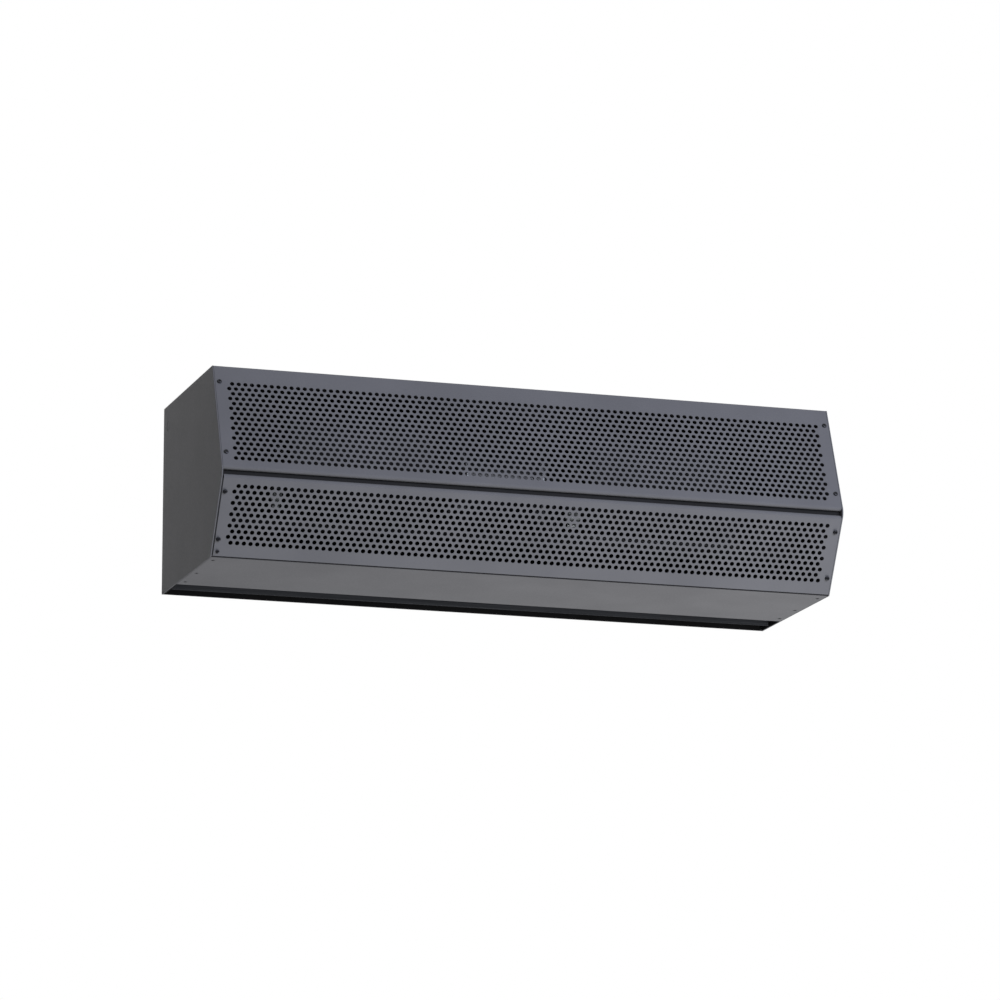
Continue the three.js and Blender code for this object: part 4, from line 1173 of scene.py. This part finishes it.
def blower_wheels():
    x0, x1 = WHEEL_MIDDLE - WHEEL_WIDTH / 2, WHEEL_MIDDLE + WHEEL_WIDTH / 2
    blades = [extruded(blade(360 * i / BLADE_COUNT), x0 + BLADE_INSET, x1 - BLADE_INSET)
              for i in range(BLADE_COUNT)]
    inside, outside = WHEEL_RADIUS - BLADE_DEPTH / 2, WHEEL_RADIUS + 1
    rings = [turned(rectangle((inside, x), (outside, x + WHEEL_RING), 0.6), AXIS, 96)
             for x in (x0, x1 - WHEEL_RING)]
    set_screw = placed(lathe([(0, 0), (3, 0), (3, 2), (1.6, 2), (1.6, 0.4), (0, 0.4)], 24, False),
                       (WHEEL_MIDDLE - HUB_LENGTH / 2 + 7, AXIS.x, AXIS.y + HUB_RADIUS - 0.5))
    fine_pair("blower_wheel", joined(*blades, *rings, wheel_disc(inside + 1), set_screw))


# ---- Motor ----
MOTOR_RADIUS = 60
MOTOR_SHEET = 2
MOTOR_HALF = 55
BELL_REACH, BELL_SHEET, BELL_SHOULDER = 12, 3, 48
BOSS_RADIUS, BOSS_LENGTH = 19, 18
BEARING_RADIUS, BEARING_WIDTH = 15, 11
BOSS_START = MOTOR_HALF + BELL_REACH
BOSS_END = BOSS_START + BOSS_LENGTH
ISOLATOR_THICKNESS, ISOLATOR_WIDTH = 5, 11
ISOLATOR_INSIDE = BOSS_RADIUS + GAP
ISOLATOR_OUTSIDE = ISOLATOR_INSIDE + ISOLATOR_THICKNESS
ISOLATOR_END = BOSS_END - GAP
ISOLATOR_START = ISOLATOR_END - ISOLATOR_WIDTH
ISOLATOR_MIDDLE = (ISOLATOR_START + ISOLATOR_END) / 2
STRAP_SHEET, STRAP_EAR = 1.5, 9
SEAT_RADIUS = ISOLATOR_OUTSIDE + GAP  # of the strap and the cradle round the rubber
EAR_REACH = SEAT_RADIUS + STRAP_SHEET + STRAP_EAR
CRADLE_SHEET, CRADLE_DEPTH = 2.5, 84
ROTOR_RADIUS = 32
STATOR_RADIUS = MOTOR_RADIUS - MOTOR_SHEET - GAP
STATOR_BORE = ROTOR_RADIUS + 0.5
STATOR_TEETH = 24
CORE_HALF = 31
WINDING_REACH = 14


def motor_shell():
    """A rolled tube with a bead pressed in near both ends."""
    inside, bead = MOTOR_RADIUS - MOTOR_SHEET, 0.8
    section = [(MOTOR_RADIUS, -MOTOR_HALF)]
    for x in (-MOTOR_HALF + 12, MOTOR_HALF - 12):
        section += [(MOTOR_RADIUS, x - 2), (MOTOR_RADIUS - bead, x - 0.8),
                    (MOTOR_RADIUS - bead, x + 0.8), (MOTOR_RADIUS, x + 2)]
    section += [(MOTOR_RADIUS, MOTOR_HALF), (inside, MOTOR_HALF), (inside, -MOTOR_HALF)]
    fine("motor_shell", turned(eased(section, 0.4), AXIS, 96))


def motor_end_bells():
    """Cast bells with twelve ribs from the bearing's boss to the shoulder."""
    bore, start = BEARING_RADIUS + GAP, MOTOR_HALF + GAP
    bell = eased([
        (MOTOR_RADIUS, start), (MOTOR_RADIUS, start + BELL_SHEET), (BELL_SHOULDER, BOSS_START),
        (BOSS_RADIUS, BOSS_START), (BOSS_RADIUS, BOSS_END), (SHAFT_RADIUS + GAP, BOSS_END),
        (SHAFT_RADIUS + GAP, BOSS_END - BELL_SHEET), (bore, BOSS_END - BELL_SHEET),
        (bore, BOSS_START - BELL_SHEET), (BELL_SHOULDER - 1.2, BOSS_START - BELL_SHEET),
        (MOTOR_RADIUS - MOTOR_SHEET - GAP, start)],
        [0.6, 1.2, 3, 1.5, 0.8, 0.4, 0.3, 0.4, 0.8, 1, 0.4])
    ribs = []
    for i in range(12):
        way = polar(Vector((0, 0)), 1, 30 * i + 15)
        side = left_of(way) * 0.9
        foot, tip = AXIS + way * (BOSS_RADIUS - 1), AXIS + way * (BELL_SHOULDER - 3)
        loop = [foot - side, tip - side, tip + side, foot + side]
        ribs.append(extruded(loop, BOSS_START - 1, BOSS_START + 2.5))
    fine_pair("motor_end_bell", joined(turned(bell, AXIS, 96), *ribs))


def bell_bolts():
    start, radius = MOTOR_HALF + GAP + 2, 3.6
    end = start + 8
    for i in range(4):
        profile = [(0, start), (radius, start), (radius, end), (radius - 0.4, end + 0.5),
                   (0, end + 0.5)]
        bolt = turned(profile, polar(AXIS, 53.5, 45 + 90 * i), 6, False)
        add_pair(f"bell_bolt_{i + 1}", bolt, "machined_steel")


def motor_bearings():
    """Sealed bearings: two races with the seals between them a little lower."""
    x1 = BOSS_END - BELL_SHEET - GAP
    x0 = x1 - BEARING_WIDTH
    inner, outer, race, seal = SHAFT_RADIUS + GAP / 2, BEARING_RADIUS, 2.2, 0.8
    section = eased([
        (inner, x0), (inner + race, x0), (inner + race, x0 + seal), (outer - race, x0 + seal),
        (outer - race, x0), (outer, x0), (outer, x1), (outer - race, x1),
        (outer - race, x1 - seal), (inner + race, x1 - seal), (inner + race, x1), (inner, x1)], 0.3)
    fine_pair("motor_bearing", turned(section, AXIS, 72))


def isolator_rings():
    inside, outside, x0, x1 = ISOLATOR_INSIDE, ISOLATOR_OUTSIDE, ISOLATOR_START, ISOLATOR_END
    section = eased([
        (inside, x0), (outside, x0), (outside, x0 + 3), (outside - 1, x0 + 4),
        (outside - 1, x1 - 4), (outside, x1 - 3), (outside, x1), (inside, x1)], 0.5)
    fine_pair("isolator_ring", turned(section, AXIS, 72))


def isolator_straps():
    foot = AXIS.y + GAP
    path = [(AXIS.x - EAR_REACH, foot), (AXIS.x - SEAT_RADIUS, foot, 0.3)]
    path += [tuple(p) for p in arc(AXIS, SEAT_RADIUS, 172, 8, 40)]
    path += [(AXIS.x + SEAT_RADIUS, foot, 0.3), (AXIS.x + EAR_REACH, foot)]
    strap = extruded(folded_loop(path, STRAP_SHEET), ISOLATOR_START, ISOLATOR_END)
    fine_pair("isolator_strap", strap)
    for name, side in (("rear", 1), ("front", -1)):
        at = (ISOLATOR_MIDDLE, AXIS.x + side * (EAR_REACH - STRAP_EAR / 2), foot + STRAP_SHEET)
        add_pair(f"strap_{name}_screw", placed(SMALL_SCREW, at, Z_AXIS, 50), "blackened_screw")


def motor_cradle():
    """A base with an upright at each end, hollowed to seat the rubber rings."""
    foot = DECK_TOP + GAP
    front, rear = AXIS.x - CRADLE_DEPTH / 2, AXIS.x + CRADLE_DEPTH / 2
    end = ISOLATOR_MIDDLE + CRADLE_SHEET / 2
    base = block((-end, front, foot), (end, rear, foot + CRADLE_SHEET), 0.8)
    outline = [Vector((front, foot)), Vector((rear, foot)), Vector((AXIS.x + EAR_REACH, AXIS.y)),
               *arc(AXIS, SEAT_RADIUS, 0, -180, 40), Vector((AXIS.x - EAR_REACH, AXIS.y))]
    middle = (foot + AXIS.y - SEAT_RADIUS) / 2
    half_width, half_height = 22, 9
    window = rectangle((AXIS.x - half_width, middle - half_height),
                       (AXIS.x + half_width, middle + half_height), 5)
    upright = plate(outline, [window], end - CRADLE_SHEET, end)
    fine("motor_cradle", joined(base, upright, mirrored(upright)))


def toothed(inside, root, teeth, share=0.55):
    """A round hole whose wall is slotted from an inside radius out to a root radius."""
    loop = []
    step = 360 / teeth
    for i in range(teeth):
        start, turn = i * step, step * share
        loop += arc(AXIS, inside, start, start + turn, 2)
        loop += arc(AXIS, root, start + turn + 0.2, start + step - 0.2, 2)
    return loop


def stator_core():
    slots = toothed(STATOR_BORE, STATOR_BORE + 12, STATOR_TEETH)
    fine("stator_core", plate(circle(AXIS, STATOR_RADIUS, 96), [slots], -CORE_HALF, CORE_HALF))


def stator_windings():
    """Rounded rings of wire that swell where the bundles turn back between the teeth."""
    start, swelling, dip = CORE_HALF + GAP, 0.0175, 0.6
    section = rectangle((STATOR_BORE + 4, start), (STATOR_RADIUS - 5, start + WINDING_REACH), 4.2, 6)
    points, faces = lathe(section, 144)
    waved = []
    for p in points:
        wave = 1 + math.cos(STATOR_TEETH * math.atan2(p.y, p.x))
        swell = 1 - swelling * wave
        waved.append(Vector((p.x * swell, p.y * swell, max(p.z - dip * wave, start))))
    fine_pair("stator_winding", placed((waved, faces), (0, AXIS.x, AXIS.y), X_AXIS))


def rotor_core():
    bore, end, skew = SHAFT_RADIUS + GAP, CORE_HALF, 5
    section = eased([(bore, -end), (ROTOR_RADIUS - 4, -end), (ROTOR_RADIUS, skew - end),
                     (ROTOR_RADIUS, end - skew), (ROTOR_RADIUS - 4, end), (bore, end)], 0.8)
    fine("rotor_core", turned(section, AXIS, 72))


def motor_shaft():
    low, high = node_box("motor_shaft")
    fine("motor_shaft", rod(AXIS, SHAFT_RADIUS, low.x, high.x, 48, 0.8))


# ---- Wiring ----
PLUG_RADIUS = 10.5
PLUG_LIP = 2.5
POLES = 5
LEAD_RADIUS = 3.5
LEAD_EXIT = Vector((MOTOR_HALF / 2, AXIS.x - MOTOR_RADIUS - GAP, AXIS.y))
LEAD_RUN = Vector((DECK_FRONT + SHEET + 2 * LEAD_RADIUS, DECK_TOP + 1.5 * LEAD_RADIUS))
BOX_LOW, BOX_HIGH = node_box("junction_box")
LEAD_ENTRY = Vector((BOX_LOW.y + (BOX_HIGH.y - BOX_LOW.y) / 3, (BOX_LOW.z + BOX_HIGH.z) / 2))


def junction_box():
    """An open box with a conduit hole, a hole for the lead and two raised knock-outs."""
    low, high = BOX_LOW, BOX_HIGH
    inside = block(low + Vector((SHEET, SHEET, SHEET)), high + Vector((-SHEET, -SHEET, 1)), 0.8)
    conduit = rod(section_centre("conduit_plug"), PLUG_RADIUS, high.x - 3, high.x + 1, 40)
    entry = rod(LEAD_ENTRY, LEAD_RADIUS + GAP, low.x - 1, low.x + 3)
    shell = carved(block(low, high, 0.8), inside, conduit, entry)
    disc = lathe(eased([(0, -0.5), (11, -0.5), (11, 0.35), (9.6, 0.35), (9.6, 0), (0, 0)],
                       [0, 0.2, 0.3, 0.3, 0.2, 0]), 40, False)
    knockouts = [placed(disc, (x, low.y, (low.z + high.z) / 2), (0, -1, 0))
                 for x in (low.x + 24, high.x - 24)]
    fine("junction_box", joined(shell, *knockouts))


def junction_box_cover():
    low, high = node_box("junction_box_cover")
    fine("junction_box_cover", block(low, high, 0.35))
    for i, (x, y) in enumerate(((low.x + 6, low.y + 6), (high.x - 6, high.y - 6))):
        screw = placed(SMALL_SCREW, (x, y, high.z), Z_AXIS, 30 + 55 * i)
        add_piece(f"cover_screw_{i + 1}", screw, "blackened_screw")


def terminal_block():
    low, high = node_box("terminal_block")
    base_top, fin = low.z + 7, 1.5
    pole = (high.x - low.x - fin) / POLES
    base = block(low, (high.x, high.y, base_top), 0.5)
    fins = [block((low.x + i * pole, low.y, low.z + 2), (low.x + i * pole + fin, high.y, high.z))
            for i in range(POLES + 1)]
    fine("terminal_block", joined(base, *fins))
    middle, strip_top = (low.y + high.y) / 2, base_top + 0.8
    for i in range(POLES):
        x = low.x + fin / 2 + (i + 0.5) * pole
        strip = block((x - 2.6, low.y + 2, base_top), (x + 2.6, high.y - 2, strip_top), 0.2)
        screws = [placed(SMALL_SCREW, (x, middle + side * 5, strip_top), Z_AXIS, 31 * i + 45 * side)
                  for side in (-1, 1)]
        add_piece(f"terminal_{i + 1}", joined(strip, *screws), "machined_steel")


def smooth_route(points, steps):
    """Centripetal Catmull-Rom through points, with a number of steps for each stretch."""
    first = points[0] * 2 - points[1]
    last = points[-1] * 2 - points[-2]
    knots = [first] + points + [last]
    route = []
    for p0, p1, p2, p3 in zip(knots, knots[1:], knots[2:], knots[3:]):
        t0 = 0.0
        t1 = t0 + math.sqrt((p1 - p0).length)
        t2 = t1 + math.sqrt((p2 - p1).length)
        t3 = t2 + math.sqrt((p3 - p2).length)
        for k in range(steps):
            t = t1 + (t2 - t1) * k / steps
            a = p0.lerp(p1, (t - t0) / (t1 - t0))
            b = p1.lerp(p2, (t - t1) / (t2 - t1))
            c = p2.lerp(p3, (t - t2) / (t3 - t2))
            d = a.lerp(b, (t - t0) / (t2 - t0))
            e = b.lerp(c, (t - t1) / (t3 - t1))
            route.append(d.lerp(e, (t - t1) / (t2 - t1)))
    return route + [points[-1]]


def motor_lead():
    """Out of the motor's front, down to the deck, along its edge and into the junction box."""
    x, out, up = LEAD_EXIT
    front, low = LEAD_RUN
    diameter = 2 * LEAD_RADIUS
    points = [(x, out, up), (x, out - diameter, up),
              (x + diameter, (out + front) / 2, (up + low) / 2),
              (MOTOR_HALF, front, low + diameter),
              (HOUSING_OFFSET, front, low),
              (HOUSING_OFFSET + HOUSING_WIDTH, front, low),
              (BOX_LOW.x - 4 * diameter, front, low),
              (BOX_LOW.x - 2 * diameter, (front + LEAD_ENTRY.x) / 2, (low + LEAD_ENTRY.y) / 2),
              (BOX_LOW.x - diameter, *LEAD_ENTRY),
              (BOX_LOW.x + 2 * SHEET, *LEAD_ENTRY)]
    fine("motor_lead", tube(smooth_route([Vector(p) for p in points], 14), LEAD_RADIUS, 20))


def lead_fittings():
    """Two clips on the deck, the motor's grommet and the junction box's bushing."""
    front, low = LEAD_RUN
    reach, foot = LEAD_RADIUS + 0.2, DECK_TOP + 0.1
    path = [(front - reach, foot)] + [tuple(p) for p in arc(LEAD_RUN, reach, 180, 10, 14)]
    path += [(front + reach, low), (front + reach + 0.6, foot, 0.5), (front + 9, foot)]
    section = folded_loop(path, 1)
    from_side, half_width = 30, 4
    for i, x in enumerate((HOUSING_OFFSET + from_side, HOUSING_OFFSET + HOUSING_WIDTH - from_side)):
        clip = extruded(section, x - half_width, x + half_width)
        add_piece(f"lead_clip_{i + 1}", clip, "black_plastic")
    inside, outside = LEAD_RADIUS + 0.1, LEAD_RADIUS + 3
    grommet = lathe(rectangle((inside, -1), (outside, 1.5), 0.6), 40)
    add_piece("lead_grommet", placed(grommet, LEAD_EXIT, (0, -1, 0)), "black_rubber")
    bushing = rectangle((inside, BOX_LOW.x - 3), (outside, BOX_LOW.x - 0.4), 0.6)
    add_piece("lead_bushing", turned(bushing, LEAD_ENTRY, 40), "black_plastic")


def conduit_plug():
    inside, radius = END_FACE - END_WEB - GAP, PLUG_RADIUS
    profile = [(0, END_FACE), (radius - 3.2, END_FACE), (radius - 2.8, END_FACE - 0.4),
               (radius - 2.2, END_FACE - 0.4), (radius - 1.8, END_FACE), (radius, END_FACE),
               (radius, inside), (radius + PLUG_LIP, inside),
               (radius + PLUG_LIP, node_box("conduit_plug")[0].x), (0, node_box("conduit_plug")[0].x)]
    rounded = eased(profile, [0, 0.2, 0.1, 0.1, 0.2, 0.4, 0.1, 0.3, 0.3, 0], False)
    fine("conduit_plug", turned(rounded, section_centre("conduit_plug"), 64, False))


CAN_RADIUS, CAN_END, CAN_RIM = 17.5, 35, 2


def capacitor():
    """A moulded can with two blade terminals in its recessed end."""
    centre = section_centre("capacitor")
    radius, end, rim = CAN_RADIUS, CAN_END, CAN_RIM
    profile = [(0, -end), (radius, -end), (radius, end - 3.5), (radius - 0.5, end - 3),
               (radius - 0.2, end - 1), (radius - rim, end - 0.6), (radius - rim - 0.4, end - 1.6),
               (0, end - 1.6)]
    can = turned(eased(profile, [0, 2, 0.5, 0.5, 0.8, 0.6, 0.3, 0], False), centre, 72, False)
    blades = []
    for z in (centre.y - 6, centre.y + 6):
        blades.append(block((end - 2, centre.x - 3, z - 0.5),
                            (node_box("capacitor")[1].x, centre.x + 3, z + 0.5), 0.3))
        blades.append(block((end - 2, centre.x - 4.5, z - 2), (end + 0.2, centre.x + 4.5, z + 2), 0.5))
    fine("capacitor", joined(can, *blades))


def capacitor_clip():
    centre = section_centre("capacitor")
    low, high = node_box("capacitor_clip")
    reach, back = CAN_RADIUS + GAP, high.y
    path = [(back, low.z), (back, centre.y - reach, BEND), (centre.x, centre.y - reach)]
    path += [tuple(p) for p in arc(centre, reach, 265, 95, 40)]
    path += [(centre.x, centre.y + reach), (back, centre.y + reach, BEND), (back, high.z)]
    fine("capacitor_clip", extruded(folded_loop(path, 1), low.x, high.x))
    for i, z in enumerate((low.z + 7, high.z - 7)):
        screw = placed(STUB_SCREW, ((low.x + high.x) / 2, back - 1, z), (0, -1, 0), 20 + 40 * i)
        add_piece(f"clip_screw_{i + 1}", screw, "blackened_screw")


for make in (upper_panel, lower_panel, left_end_shade_strip, seam_shade_strip, nose_rail, end_plates,
             top_cover, bottom_plate, back_plate, panel_screws, sunk_screws, keyhole_shrouds,
             blower_deck, nozzle_walls, pivot_plates, discharge_vane, vane_pins_and_washers,
             scroll_wrappers, housing_sides, blower_wheels, motor_shell, motor_end_bells,
             bell_bolts, motor_bearings, isolator_rings, isolator_straps, motor_cradle,
             stator_core, stator_windings, rotor_core, motor_shaft, junction_box,
             junction_box_cover, terminal_block, motor_lead, lead_fittings, conduit_plug,
             capacitor, capacitor_clip):
    make()


# ---- Floor and light ----
def make_floor():
    half = 60
    mesh = bpy.data.meshes.new("floor")
    corners = [(-half, -half), (half, -half), (half, half), (-half, half)]
    mesh.from_pydata([(x, y, FLOOR_HEIGHT) for x, y in corners], [], [(0, 1, 2, 3)])
    floor = bpy.data.objects.new("floor", mesh)
    bpy.context.scene.collection.objects.link(floor)
    mesh.materials.append(Finish("pale_floor_paint", "#e8e8e8", 0.0, 0.9).material)


def area_light(name, place, size, power, colour):
    """A softbox that is turned to the middle of the part."""
    data = bpy.data.lights.new(name, "AREA")
    data.shape = "RECTANGLE"
    data.size, data.size_y = size
    data.energy = power
    data.color = linear(colour)[:3]
    light = bpy.data.objects.new(name, data)
    light.location = place
    light.rotation_euler = (LIT_PLACE - Vector(place)).to_track_quat("-Z", "Y").to_euler()
    bpy.context.scene.collection.objects.link(light)


LIT_PLACE = Vector((0, -0.2, 0))
AMBIENT_STRENGTH = 0.21


def make_light():
    """Two softboxes and a faint white room, in which the camera and shine see pure white."""
    world = bpy.data.worlds.new("studio")
    bpy.context.scene.world = world
    world.use_nodes = True
    tree = world.node_tree
    tree.nodes.clear()
    rays = add_node(tree, "LightPath").outputs
    gloss = add_node(tree, "Math", {0: rays["Is Glossy Ray"], 1: rays["Is Transmission Ray"]},
                     operation="MAXIMUM")
    shown = add_node(tree, "Math", {0: rays["Is Camera Ray"], 1: gloss.outputs[0]},
                     operation="MAXIMUM")
    white = linear("#ffffff")
    ambient = add_node(tree, "Background", {"Color": white, "Strength": AMBIENT_STRENGTH})
    backdrop = add_node(tree, "Background", {"Color": white, "Strength": 1.0})
    mixed = add_node(tree, "MixShader", {0: shown.outputs[0], 1: ambient.outputs[0],
                                         2: backdrop.outputs[0]})
    add_node(tree, "OutputWorld", {"Surface": mixed.outputs[0]})
    area_light("front_softbox", (1.5, -3.6, 1.2), (2.4, 2.0), 138, "#e6ebff")
    area_light("low_softbox", (1.1, -0.4, -2.2), (1.6, 1.2), 52, "#ffffff")


make_floor()
make_light()

bpy.context.scene.view_settings.view_transform = "Standard"
